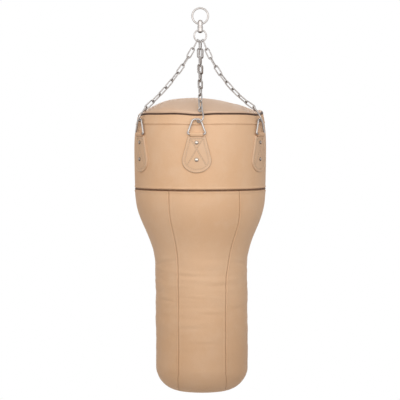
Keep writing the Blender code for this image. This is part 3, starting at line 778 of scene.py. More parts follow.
@dataclass
class Leatherwork:
    """The bag's leather pieces, its pipings and its filling.

    A relief is counted across its line, a shade is the painted shade along its crease, and a wrinkle is
    its azimuth, depth, reach in degrees, slope and how deep it is.
    """

    maker: Maker
    form: BagForm
    steps: int = 360
    noise_radius: float = 0.25

    hem_depth: float = 0.0390
    hem_swell: float = 0.0015
    hem_top: tuple[float, float] = (0.0030, 0.0035)
    hem_foot: tuple[float, float] = (0.0010, 0.0030)
    hem_lip: Ridge = Ridge(0.0008, 0.0075, 0.0035)
    hem_relief: tuple[Ridge, ...] = (Ridge(0.0008, -0.0047, 0.0040), Ridge(-0.0013, 0.0, 0.0017))
    # A swirl that varies the painted shade of the hem's crease round the bag.
    hem_shade_swirl: Ripple = Ripple(1.0, 7.0, 41.0)
    hem_shade: Ridge = Ridge(0.26, 0.0006, 0.0026)
    hem_shade_swing: Ridge = Ridge(0.20, 0.0, 0.0010)
    hem_pucker: Ripple = Ripple(0.0012, 26.0, 3.0, 0.002, 0.010)
    hem_wave: Ripple = Ripple(0.0008, 13.0, 9.0, 0.022, 0.014)
    hem_wave_stretch: float = 3.0
    band_soft: tuple[Ripple, ...] = (Ripple(0.0008, 7.0, 2.0), Ripple(0.0004, 19.0, 5.0))
    band_pucker: Ripple = Ripple(0.0005, 46.0, 8.0, 0.006, 0.012)
    band_rings: Spacing = Spacing(0.0006, 0.004, 0.22, 0.0006)
    band_widest: float = 0.0045
    band_tuck: tuple[Ridge, ...] = (Ridge(0.0016, 0.0080, 0.0040), Ridge(-0.0020, 0.0018, 0.0026))
    rim_shade: Ridge = Ridge(0.45, 0.0030, 0.0016)
    seam_shade: Ridge = Ridge(0.40, 0.0016, 0.0018)

    panel_draw: float = 0.80
    panel_swell: float = 0.0016
    panel_power: float = 2.4
    panel_start: float = 0.05
    panel_relief: tuple[Ridge, ...] = (Ridge(-0.0017, 0.0, 0.0018), Ridge(0.0011, 0.0056, 0.0034))
    panel_shade: Ridge = Ridge(0.60, 0.0, 0.0015)
    panel_pucker: Ripple = Ripple(0.0004, 55.0, 6.0, 0.0, 0.016)
    pucker_turn: float = 0.05
    shell_soft: tuple[Ripple, ...] = (Ripple(0.0011, 6.0, 11.0), Ripple(0.0004, 15.0, 17.0))
    shell_stretch: tuple[float, float] = (2.3, 6.0)
    shell_tuck: tuple[Ridge, ...] = (Ridge(0.0017, 0.0080, 0.0040), Ridge(-0.0020, 0.0018, 0.0026))
    shell_ripple: Ripple = Ripple(0.0006, 38.0, 9.0, 0.010, 0.020)
    lower_start: tuple[float, float] = (0.42, 0.16)
    lower_soft: tuple[Ripple, ...] = (
        Ripple(0.0016, 4.6, 23.0), Ripple(0.0006, 9.5, 29.0), Ripple(0.0009, 9.5, 29.0, 0.64, 0.09))
    foot_calm: float = 0.25
    wrinkles: tuple[Wrinkle, ...] = tuple(Wrinkle(*row) for row in (
        (-52.0, 0.556, 17.0, -0.16, 0.0020), (-72.0, 0.590, 14.0, 0.10, 0.0015),
        (50.0, 0.560, 15.0, 0.14, 0.0019), (70.0, 0.592, 14.0, -0.08, 0.0014),
        (-18.0, 0.604, 15.0, 0.05, 0.0012), (16.0, 0.640, 16.0, -0.06, 0.0011),
        (-8.0, 0.688, 17.0, 0.03, 0.0011), (12.0, 0.748, 15.0, 0.05, 0.0010),
        (-14.0, 0.800, 15.0, -0.04, 0.0009), (8.0, 0.858, 17.0, 0.03, 0.0009),
        (-48.0, 0.700, 15.0, 0.08, 0.0011), (46.0, 0.730, 14.0, -0.07, 0.0010),
        (112.0, 0.575, 18.0, -0.10, 0.0017), (-118.0, 0.570, 17.0, 0.12, 0.0018),
        (165.0, 0.600, 18.0, 0.05, 0.0014), (-160.0, 0.660, 16.0, -0.06, 0.0012),
        (140.0, 0.730, 16.0, 0.06, 0.0011), (-130.0, 0.790, 15.0, 0.04, 0.0010)))
    shell_rings: Spacing = Spacing(0.0008, 0.010, 0.25, 0.003)
    shell_widest: float = 0.0070
    creased: tuple[float, float] = (0.53, 0.88)
    creased_widest: float = 0.0032
    # Painted shade towards the bag's bottom, stronger on its +X side.
    bottom_shade: Ridge = Ridge(1.0, 0.961, 0.15)

    lid_edge: tuple[Ridge, ...] = (Ridge(0.0056, 0.0065, 0.0048), Ridge(-0.0018, 0.0165, 0.0050))
    lid_flats: tuple[tuple[float, float], ...] = ((-84.0, 24.0), (86.0, 17.0))
    lid_flatness: float = 0.9
    lid_fade: float = 0.030
    lid_fade_power: float = 0.7
    lid_slump: tuple[Ridge, ...] = (Ridge(-0.0042, 0.045, 0.055), Ridge(-0.0078, 0.125, 0.055),
                                    Ridge(-0.0090, 0.200, 0.036), Ridge(0.0058, -0.132, 0.060))
    lid_creases: tuple[LidCrease, ...] = (LidCrease(0.0028, 0.1174, 0.12, 0.0045, -0.115, 0.050),
                                          LidCrease(0.0014, -0.028, 0.0, 0.014, -0.165, 0.035))
    lid_folds: tuple[Ripple, ...] = (
        Ripple(0.0016, 6.5, 21.0, 0.020, 0.034), Ripple(0.0007, 17.0, 13.0, 0.012, 0.018))
    lid_soft: Ripple = Ripple(0.0016, 6.0, 30.0)
    lid_soft_start: float = 0.05
    lid_middle: tuple[float, float, float] = (0.0, 0.002, 0.006)
    lid_step: float = 0.0075
    lid_rings: Spacing = Spacing(0.0012, 0.03, 0.2, 0.0012)
    lid_shade: Ridge = Ridge(0.5, 0.0, 0.0022)

    cord_swell: tuple[Ripple, ...] = (Ripple(0.10, 5.0, 3.0), Ripple(0.06, 31.0, 7.0))
    cord_drift: Ripple = Ripple(0.0004, 9.0, 1.0)
    lap_azimuth: float = 81.0
    lap_reach: float = 9.0
    disc_rounding: float = 0.0015
    disc_shade: Ridge = Ridge(0.5, 0.0, 0.002)
    filling_slack: float = 0.0025
    filling_sink: float = 0.017

    def shaped(self, profile: Outline, skin: Skin, closed: bool = True,
               steps: int | None = None) -> Mesh:
        """Spins a profile and gives each point its place on the bag.

        Args:
            profile: The (radius, height) profile over the rim.
            skin: Gives the azimuth, the radial rise and the painted crease shade at a point of
                (azimuth, radius, height).
            closed: Whether the last point joins the first.
            steps: Steps round the axis.

        Returns:
            The mesh.
        """
        bm = spun(profile, steps or self.steps, closed)
        crease = bm.verts.layers.float.new("crease")
        for vertex in bm.verts:
            height = vertex.co.z
            azimuth, radius = polar(vertex.co)
            azimuth, rise, dark = skin(azimuth, radius, height)
            vertex.co = self.form.settle(azimuth, radius + rise, height)
            # The painted shade of creases, seams and grooves.
            vertex[crease] = dark
        face_out(bm)
        return bm

    # -- upper band

    def hem(self, depth: float) -> float:
        """Gives how far the folded hem stands out at a depth."""
        top = clamp((depth - self.hem_top[0]) / self.hem_top[1])
        foot = clamp((self.hem_depth + self.hem_foot[0] - depth) / self.hem_foot[1])
        fold = self.hem_swell * math.sin(top * math.pi / 2) * math.sin(foot * math.pi / 2)
        return fold + self.hem_lip.at(depth) + total(self.hem_relief, depth - self.hem_depth)

    def band_rise(self, azimuth: float, depth: float) -> float:
        """Gives the upper band's relief over its plain radius."""
        place = around(azimuth, self.noise_radius, -depth)
        edge = self.form.band_height - depth
        pucker = self.band_pucker.at(place, edge) + self.hem_pucker.at(place, depth - self.hem_depth)
        place_in_hem = around(azimuth, self.noise_radius, -depth * self.hem_wave_stretch)
        pucker += self.hem_wave.at(place_in_hem, depth)
        return self.hem(depth) + total(self.band_soft, place) + pucker + total(self.band_tuck, edge)

    def band_skin(self, azimuth: float, radius: float, height: float) -> tuple[float, float, float]:
        """Gives the band's azimuth, rise and painted crease shade at a point."""
        # Painted shade in the hem's crease, under the rim piping and over the lower piping; worn and wear
        # here only vary the hem's shade round the bag.
        worn = self.hem_shade_swirl.at(around(azimuth))
        shade, wear = self.hem_shade, self.hem_shade_swing
        hem_shade = Ridge(shade.height + wear.height * worn, shade.middle, shade.reach + wear.reach * worn)
        dark = hem_shade.at(-height - self.hem_depth)
        dark += self.seam_shade.at(self.form.band_height + height) + self.rim_shade.at(-height)
        return azimuth, self.band_rise(azimuth, -height), min(dark, 1.0)

    def build_band(self) -> None:
        """Makes the upper band with the hem under its rim, with its rings closest at the edges."""
        form = self.form
        first, last = form.rim_piping / 2 + GAP, form.band_height - form.seam_piping / 2 - GAP
        depths = self.band_rings.rings(first, last, lambda d: min(abs(d - self.hem_depth), d, last - d),
                                       lambda d: self.band_widest)
        outer = [(form.band_radius(d), -d) for d in depths]
        inner = [(form.band_radius(d) - form.wall, -d) for d in depths[::8] + [last]]
        bm = self.shaped(outer + inner[::-1], self.band_skin)
        self.maker.piece("upper_band_leather", bm, self.maker.palette.leather, Slot.LEATHER, ["upper_band"])

    # -- lower shell

    def panel_warp(self, azimuth: float) -> float:
        """Draws the mesh's lines together at the six seams."""
        share = (azimuth - self.form.seams[0]) / self.form.panel % 1.0
        return azimuth - self.form.panel * self.panel_draw * math.sin(2 * math.pi * share) / (2 * math.pi)

    def seam_distance(self, azimuth: float, radius: float) -> float:
        """Gives the distance round the bag to the nearest upright seam."""
        turn = min(abs(turn_between(azimuth, seam)) for seam in self.form.seams)
        return math.radians(turn) * radius

    def shell_rise(self, azimuth: float, radius: float, depth: float) -> float:
        """Gives the lower shell's relief over its plain radius."""
        place, place_below = (around(azimuth, radius, -depth * stretch) for stretch in self.shell_stretch)
        under = depth - self.form.band_height
        away = self.seam_distance(azimuth, radius)
        half = math.radians(self.form.panel / 2) * radius
        swell = self.panel_swell * (1 - (1 - away / half) ** self.panel_power)
        swell *= min(1.0, under / self.panel_start)
        lower = clamp((depth - self.lower_start[0]) / self.lower_start[1])
        soft = total(self.shell_soft, place) + lower * total(self.lower_soft, place_below, depth)
        soft -= sum(wrinkle.at(azimuth, radius, depth) for wrinkle in self.wrinkles)
        foot = clamp((self.form.bag_height - depth) / self.form.base_rounding)
        share = self.foot_calm + (1 - self.foot_calm) * foot
        pucker = self.panel_pucker.at(Vector((0.0, azimuth * self.pucker_turn, depth)), away)
        edges = total(self.panel_relief, away) + total(self.shell_tuck, under)
        return (swell + soft) * share + pucker + edges + self.shell_ripple.at(place, under)

    def shell_skin(self, azimuth: float, radius: float, height: float) -> tuple[float, float, float]:
        """Gives the lower shell's azimuth, rise and painted seam shade at a point."""
        azimuth = self.panel_warp(azimuth)
        # Painted shade along the six upright seams and under the lower piping.
        dark = self.panel_shade.at(self.seam_distance(azimuth, radius))
        dark += self.seam_shade.at(-height - self.form.band_height)
        return self.form.drifted(azimuth, -height), self.shell_rise(azimuth, radius, -height), min(dark, 1.0)

    def build_shell(self) -> None:
        """Makes the lower shell of six sewn panels, with closer rings where it is creased."""
        form = self.form
        first = form.band_height + form.seam_piping / 2 + GAP
        low, high = self.creased
        depths = self.shell_rings.rings(
            first, form.bag_height - form.base_rounding, lambda d: d - first,
            lambda d: self.creased_widest if low < d < high else self.shell_widest)
        outer = [(form.neck_radius(d), -d) for d in depths]
        inner = [(r - form.wall, z) for r, z in outer[::6]] + form.foot(form.wall, 12)
        bm = self.shaped(outer + form.foot(0.0, 26)[1:] + inner[::-1], self.shell_skin)
        # Painted shade: darker towards the bottom and on the +X side.
        mark(bm, "bottom_shade", lambda place: self.bottom_shade.at(form.rim_z - place.z)
             * (0.65 + 0.35 * place.x / form.lower_radius))
        self.maker.piece("lower_shell_leather", bm, self.maker.palette.leather, Slot.LEATHER, ["lower_shell"])

    def build_base(self) -> None:
        """Makes the disc that closes the foot, with painted shade at its edge."""
        form = self.form
        radius = form.lower_radius - form.base_rounding - GAP
        low, high = -form.bag_height, form.wall - form.bag_height
        profile = [(0.0, low)] + [(radius * i / 10, low) for i in range(1, 10)]
        profile += arc((radius - self.disc_rounding, low + self.disc_rounding), self.disc_rounding, -90, 0, 5)
        profile += [(radius, high), (0.0, high)]

        def skin(azimuth: float, across: float, height: float) -> tuple[float, float, float]:
            """Paints shade at the disc's edge."""
            return azimuth, 0.0, self.disc_shade.at(across - radius)

        bm = self.shaped(profile, skin, closed=False, steps=120)
        self.maker.piece("base_disc_leather", bm, self.maker.palette.leather, Slot.LEATHER, ["base_disc"])

    # -- lid

    def lid_lift(self, azimuth: float, radius: float) -> float:
        """Gives the lid's height over its plain dome: the sewn edge, the slump and soft folds."""
        edge = self.form.rim_radius - radius
        level = around(azimuth)
        x, y = level.x * radius, level.y * radius
        flat = sum(hump(turn_between(azimuth, middle), reach) for middle, reach in self.lid_flats)
        fade = clamp(edge / self.lid_fade) ** self.lid_fade_power
        lift = (1 - self.lid_flatness * flat) * total(self.lid_edge, edge) + fade * total(self.lid_slump, x)
        lift -= sum(crease.at(x, y) for crease in self.lid_creases)
        lift += self.lid_soft.at(level * radius) * clamp(edge / self.lid_soft_start)
        return lift + total(self.lid_folds, level, edge)

    def build_lid(self) -> None:
        """Makes the domed lid, with its rings closest at the edge."""
        form = self.form
        steps = [0.012 + self.lid_step * i for i in range(24)]
        radii = [*self.lid_middle, *steps[:-1]]
        radii += self.lid_rings.rings(steps[-1], form.rim_radius, lambda r: form.rim_radius - r)
        radii[-1] = form.rim_radius

        def dome(radius: float, rise: float) -> float:
            """Gives the plain dome's height."""
            return form.rim_piping / 2 + GAP + rise * (1 - (radius / form.rim_radius) ** form.lid_power)

        outer = [(r, dome(r, form.lid_rise)) for r in radii]
        share = 1 - form.wall / form.rim_radius
        inner = [(r * share, dome(r, form.lid_rise - form.wall)) for r in radii[::3]]
        bm = spun(outer + inner[::-1], self.steps, closed=False)
        # Painted shade where the lid meets the rim piping.
        mark(bm, "crease", lambda place: self.lid_shade.at(form.rim_radius - polar(place)[1]))
        for vertex in bm.verts:
            azimuth, radius = polar(vertex.co)
            lift = self.lid_lift(azimuth, radius) if radius < form.rim_radius - 0.0004 else 0.0
            vertex.co = form.settle(azimuth, radius, vertex.co.z + lift)
        face_out(bm)
        self.maker.piece("lid_leather", bm, self.maker.palette.lid, Slot.LID_LEATHER, ["top_lid"])

    # -- pipings and filling

    def build_piping(self, node: str, material: Material, radius: float, thickness: float,
                     height: float, lap: float) -> None:
        """Makes one sewn-in piping.

        Args:
            node: The CAD node it replaces.
            material: Its finish.
            radius: The leather's radius at its seam.
            thickness: Its own thickness.
            height: Its height over the rim.
            lap: How much thicker it is where its ends overlap.
        """
        middle = radius + self.form.piping_proud - thickness / 2
        bm = spun(arc((middle, height), thickness / 2, 0, 360, 17)[:-1], 540)
        for vertex in bm.verts:
            azimuth, across = polar(vertex.co)
            level = Vector((vertex.co.x, vertex.co.y, 0.0)).normalized()
            swell = 1.0 + total(self.cord_swell, level)
            swell += lap * hump(turn_between(azimuth, self.lap_azimuth), self.lap_reach)
            across = middle + (across - middle) * swell + self.cord_drift.at(level)
            vertex.co = self.form.settle(azimuth, across, height + (vertex.co.z - height) * swell)
        face_out(bm)
        self.maker.piece(f"{node}_cord", bm, material, Slot.PIPING, [node])

    def build_filling(self) -> None:
        """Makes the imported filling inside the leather."""
        form = self.form
        inset = form.wall + GAP
        top = form.rim_piping / 2 + GAP - self.filling_sink + form.lid_rise - inset
        rise, shares = form.lid_rise - inset - 0.002, [i / 12 for i in range(13)]
        profile = [((form.rim_radius - inset) * s, top - rise * s ** form.lid_power) for s in shares]
        first, last = 0.012, form.bag_height - form.base_rounding
        for i in range(41):
            depth = first + (last - first) * i / 40
            radius = form.band_radius(depth) if depth < form.band_height else form.neck_radius(depth)
            profile.append((radius - inset - self.filling_slack, -depth))
        profile += form.foot(inset + self.filling_slack, 10)[1:]
        profile.append((0.0, profile[-1][1]))
        bm = self.shaped(profile, lambda azimuth, across, level: (azimuth, 0.0, 0.0), closed=False, steps=96)
        self.maker.piece("filling_textile", bm, self.maker.palette.canvas, Slot.TEXTILE, ["filling"])

    def build(self) -> None:
        """Makes the whole bag."""
        form, palette = self.form, self.maker.palette
        self.build_band()
        self.build_shell()
        self.build_base()
        self.build_lid()
        self.build_piping("rim_piping", palette.piping, form.rim_radius, form.rim_piping, 0.0, 0.85)
        self.build_piping("lower_piping", palette.worn_piping, form.seam_radius, form.seam_piping,
                          -form.band_height, 0.1)
        self.build_filling()


# ---- Sewing


@dataclass
class Sewing:
    """Rows of single stitches, gathered in one mesh."""

    length: float = 0.0042
    pitch: float = 0.0062
    thickness: float = 0.0010
    batch: int = 24
    done: bpy.types.Mesh = field(default_factory=lambda: bpy.data.meshes.new("stitches"))
    bm: Mesh = field(default_factory=bmesh.new)
    laid: int = 0

    def stitch(self, first: Vector, last: Vector, outwards: Vector) -> None:
        """Lays one stitch.

        Args:
            first: Where the thread comes out of the leather.
            last: Where it goes back in.
            outwards: The leather's outward direction.
        """
        along = last - first
        side = outwards.cross(along).normalized()
        size = Matrix.Diagonal((self.thickness / 2, self.thickness * 0.42, along.length / 2 * 1.08, 1.0))
        matrix = placing((first + last) / 2, side, along.normalized()) @ size
        bmesh.ops.create_uvsphere(self.bm, u_segments=6, v_segments=6, radius=1.0, matrix=matrix)
        self.laid += 1
        if self.laid % self.batch == 0:
            self.gather().free()

    def gather(self) -> Mesh:
        """Adds the last batch to the stitches that are done, and gives a mesh of them all."""
        every = bmesh.new()
        every.from_mesh(self.done)
        self.bm.to_mesh(self.done)
        every.from_mesh(self.done)
        every.to_mesh(self.done)
        self.bm.clear()
        return every

    def row(self, path: Sequence[Vector], lifts: Sequence[Vector], closed: bool = False) -> None:
        """Sews along a path of closely spaced points.

        Args:
            path: The points on the leather.
            lifts: The outward direction at each point.
            closed: Whether the row ends where it starts.
        """
        points = list(path) + ([path[0]] if closed else [])
        normals = list(lifts) + ([lifts[0]] if closed else [])
        lengths = [0.0]
        for before, after in zip(points, points[1:]):
            lengths.append(lengths[-1] + (after - before).length)
        whole = lengths[-1]
        count = max(1, round(whole / self.pitch))

        def at(distance: float) -> tuple[Vector, Vector]:
            """Gives the point and its outward direction at a distance along the row."""
            i = int(np.searchsorted(lengths, min(distance, whole - 1e-9), side="right")) - 1
            share = (distance - lengths[i]) / max(lengths[i + 1] - lengths[i], 1e-9)
            return points[i].lerp(points[i + 1], share), normals[i].lerp(normals[i + 1], share).normalized()

        for k in range(count):
            middle = whole * (k + 0.5) / count
            first, lift = at(middle - self.length / 2)
            last, _ = at(middle + self.length / 2)
            self.stitch(first, last, lift)


@dataclass
class BagSewing:
    """The rows of stitches round the bag."""

    maker: Maker
    work: Leatherwork
    steps: int = 720
    above: float = 0.0060
    below: float = 0.0062
    proud: float = 0.0002

    def place(self, azimuth: float, depth: float) -> Vector:
        """Gives a stitch's place on the band or, below the lower piping, on the shell."""
        form, work = self.work.form, self.work
        if depth < form.band_height:
            radius = form.band_radius(depth) + work.band_rise(azimuth, depth)
        else:
            radius = form.neck_radius(depth)
            radius += work.shell_rise(azimuth, radius, depth)
            azimuth = form.drifted(azimuth, depth)
        return form.settle(azimuth, radius + self.proud, -depth)

    def build(self) -> None:
        """Makes the hem's row and the rows on both sides of the lower piping."""
        sewing, form = Sewing(), self.work.form
        turns = [360.0 * i / self.steps for i in range(self.steps)]
        for depth in (self.work.hem_depth, form.band_height - self.above, form.band_height + self.below):
            on_shell = depth > form.band_height
            lifts = [around(form.drifted(turn, depth) if on_shell else turn) for turn in turns]
            sewing.row([self.place(turn, depth) for turn in turns], lifts, closed=True)
        self.maker.piece("bag_stitching", sewing.gather(), self.maker.palette.tan_thread, Slot.TEXTILE)


# ---- Harness


@dataclass
class WireRing:
    """A welded steel ring that stands in the XZ plane."""

    maker: Maker
    node: str
    body: Body
    radius: float
    thickness: float
    weld_turn: float
    steps: int = 128
    weld: tuple[Ridge, Ridge] = (Ridge(0.07, 0.0, 0.0016), Ridge(-0.03, 0.0030, 0.0009))

    def build(self) -> None:
        """Makes the ring about the middle of the node it replaces."""
        low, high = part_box(self.node)
        middle = (low + high) / 2
        points, swell = [], []
        for i in range(self.steps):
            turn = 360.0 * i / self.steps
            angle = math.radians(turn)
            points.append(middle + Vector((math.cos(angle), 0.0, math.sin(angle))) * self.radius)
            away = abs(math.radians(turn_between(turn, self.weld_turn))) * self.radius
            swell.append(1.0 + total(self.weld, away))
        bm = wire_mesh(points, self.thickness, swell=swell, sides=6)
        steel = self.maker.palette.steel
        self.maker.piece(f"{self.node}_steel", bm, steel, Slot.STEEL, [self.node], self.body)


def cut(bm: Mesh, tool: Mesh) -> Mesh:
    """Cuts a mesh with a tool's mesh, and frees both.

    Args:
        bm: The mesh to cut.
        tool: What is taken away.

    Returns:
        What is left.
    """
    holders = []
    for source in (bm, tool):
        mesh = bpy.data.meshes.new("cutting")
        source.to_mesh(mesh)
        source.free()
        holders.append(placed("cutting", mesh))
    boolean = holders[0].modifiers.new("cut", "BOOLEAN")
    boolean.operation = "DIFFERENCE"
    boolean.object = holders[1]
    bpy.context.view_layer.update()
    left = evaluated(holders[0])
    for holder in holders:
        data = holder.data
        bpy.data.objects.remove(holder, do_unlink=True)
        bpy.data.meshes.remove(data)
    return left


@dataclass
class Swivel:
    """The swivel: a domed head on a stem, its nut and the barrel that turns on it."""

    maker: Maker
    head_eye: float = -0.05625
    head_diameter: float = 0.0195
    head_rise: float = 0.0165
    head_drop: float = 0.0078
    stem_diameter: float = 0.006
    nut_width: float = 0.0105
    nut_height: float = 0.0030
    barrel_diameter: float = 0.0215
    barrel_roof: float = 0.0026
    barrel_neck: float = 0.0137
    barrel_foot: float = 0.0130
    barrel_rounding: float = 0.0085
    barrel_groove: tuple[tuple[float, float], ...] = ((0.0042, 0.0), (0.0048, 0.0005), (0.0054, 0.0))
    edge: float = 0.0008
    painted_shade: Ridge = Ridge(0.9, 0.0, 0.0050)
    steps: int = 64

    def __post_init__(self) -> None:
        """Works out the levels that the pieces share."""
        self.stem = self.stem_diameter / 2
        self.head_foot = self.head_eye - self.head_drop
        self.top = self.head_foot - GAP
        self.roof = self.top - self.barrel_roof
        self.nut_foot = self.roof - GAP - self.nut_height

    def eye(self, ring_radius: float, ring_wire: float, half: float, height: float) -> Mesh:
        """Makes what is cut away along X for a ring, flared at both ends.

        Args:
            ring_radius: The ring's radius at its wire's middle.
            ring_wire: The wire's diameter.
            half: Half of the cut's length.
            height: Where it lies.

        Returns:
            The mesh to cut away.
        """
        profile = [(0.0, half)]
        for i in range(17):
            x = half * (1 - i / 8)
            flare = ring_radius - math.sqrt(ring_radius ** 2 - x ** 2)
            profile.append((ring_wire / 2 + WIRE_GAP + flare, x))
        bm = spun(profile + [(0.0, -half)], 40, closed=False)
        bm.transform(Matrix.Translation((0, 0, height)) @ Matrix.Rotation(math.pi / 2, 4, "Y"))
        return bm

    def build_head(self) -> None:
        """Makes the domed head with its stem, and dresses the nut."""
        steel = self.maker.palette.steel
        radius, crown = self.head_diameter / 2, self.head_eye + self.head_rise
        profile = [(0.0, crown)] + arc((0.0, crown - radius), radius, 90, 0, 18)[1:]
        profile += arc((radius - self.edge, self.head_foot + self.edge), self.edge, 0, -90, 5)
        profile += [(self.stem, self.head_foot), (self.stem, self.nut_foot), (0.0, self.nut_foot)]
        hole = self.eye(TOP_RING_RADIUS, TOP_RING_WIRE, radius * 1.1, self.head_eye)
        head = cut(spun(profile, self.steps, closed=False), hole)
        self.maker.piece("swivel_head_steel", head, steel, Slot.STEEL, ["swivel_head"], Body.SWIVEL_TOP, 35.0)
        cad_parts["swivel_nut"].data.materials.clear()
        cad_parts["swivel_nut"].data.materials.append(steel)

    def build_barrel(self) -> None:
        """Makes the barrel round the nut, with its groove and painted shade at its foot."""
        wide, bore, cavity = self.barrel_diameter / 2, self.stem + GAP, self.nut_width / 2 + GAP
        neck = self.top - self.barrel_neck
        foot, floor = neck - self.barrel_foot, self.nut_foot - GAP
        profile = [(bore, self.top)]
        profile += arc((wide - self.edge, self.top - self.edge), self.edge, 90, 0, 5)
        profile += [(wide - deep, self.top - down) for down, deep in self.barrel_groove]
        profile += arc((0.0, foot + self.barrel_rounding), wide, 0, -90, 18, self.barrel_rounding)[:-1]
        profile += [(0.0, foot), (0.0, floor), (cavity, floor), (cavity, self.roof), (bore, self.roof)]
        hole = self.eye(LOWER_RING_RADIUS, LOWER_RING_WIRE, wide * 1.1, neck)
        barrel = cut(spun(profile, self.steps), hole)
        # Painted shade at the barrel's foot.
        mark(barrel, "tarnish_and_shade", lambda place: self.painted_shade.at(place.z - foot))
        self.maker.piece("swivel_barrel_steel", barrel, self.maker.palette.steel, Slot.STEEL,
                         ["swivel_barrel"], Body.SWIVEL_BOTTOM, 35.0)


@dataclass
class Chain:
    """One chain of welded long links. A row of weld is a height and the wire's swelling there."""

    maker: Maker
    name: str
    pitch: float
    wire: float = 0.005
    width: float = 0.0195
    count: int = 9
    bend_points: int = 17
    weld: tuple[tuple[float, float], ...] = (
        (0.0038, 1.0), (0.0030, 0.95), (0.0022, 1.05), (0.0012, 1.14), (0.0, 1.12), (-0.0012, 1.14),
        (-0.0022, 1.05), (-0.0030, 0.95), (-0.0038, 1.0))
    painted_shade: Ridge = Ridge(0.62, 0.0, 0.0056)

    def path(self) -> tuple[list[Vector], list[float]]:
        """Gives a link's path, upright with its width along X, and its swelling at the weld."""
        bend = (self.width - self.wire) / 2
        straight = (self.pitch + self.wire + WIRE_GAP) / 2 - bend
        ends = arc((0.0, straight), bend, 0, 180, self.bend_points)
        foot = arc((0.0, -straight), bend, 180, 360, self.bend_points)
        points = ends + [(-bend, z) for z, _ in self.weld] + foot
        swell = [1.0] * len(ends) + [share for _, share in self.weld] + [1.0] * len(foot)
        return [Vector((x, 0.0, z)) for x, z in points], swell

    def build(self) -> None:
        """Makes each link in the place of its CAD node, which its corners' main axes give."""
        points, swell = self.path()
        link = wire_mesh(points, self.wire, swell=swell, sides=3)
        # Painted shade where the links hang in one another.
        mark(link, "tarnish_and_shade",
             lambda place: self.painted_shade.at(math.hypot(self.pitch / 2 - abs(place.z), place.x)))
        for k in range(1, self.count + 1):
            node = f"{self.name}_link_{k}"
            corners = np.array([v.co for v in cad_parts[node].data.vertices])
            _, axes = np.linalg.eigh(np.cov((corners - corners.mean(0)).T))
            spread = corners @ axes
            middle = axes @ ((spread.min(0) + spread.max(0)) / 2)
            long_axis, width = Vector(axes[:, 2]), Vector(axes[:, 1])
            if long_axis.z < 0:
                long_axis.negate()
            if k % 2:
                width.negate()
            copy = link.copy()
            copy.transform(placing(Vector(middle), width, long_axis))
            self.maker.piece(f"{node}_steel", copy, self.maker.palette.steel, Slot.STEEL, [node])
        link.free()


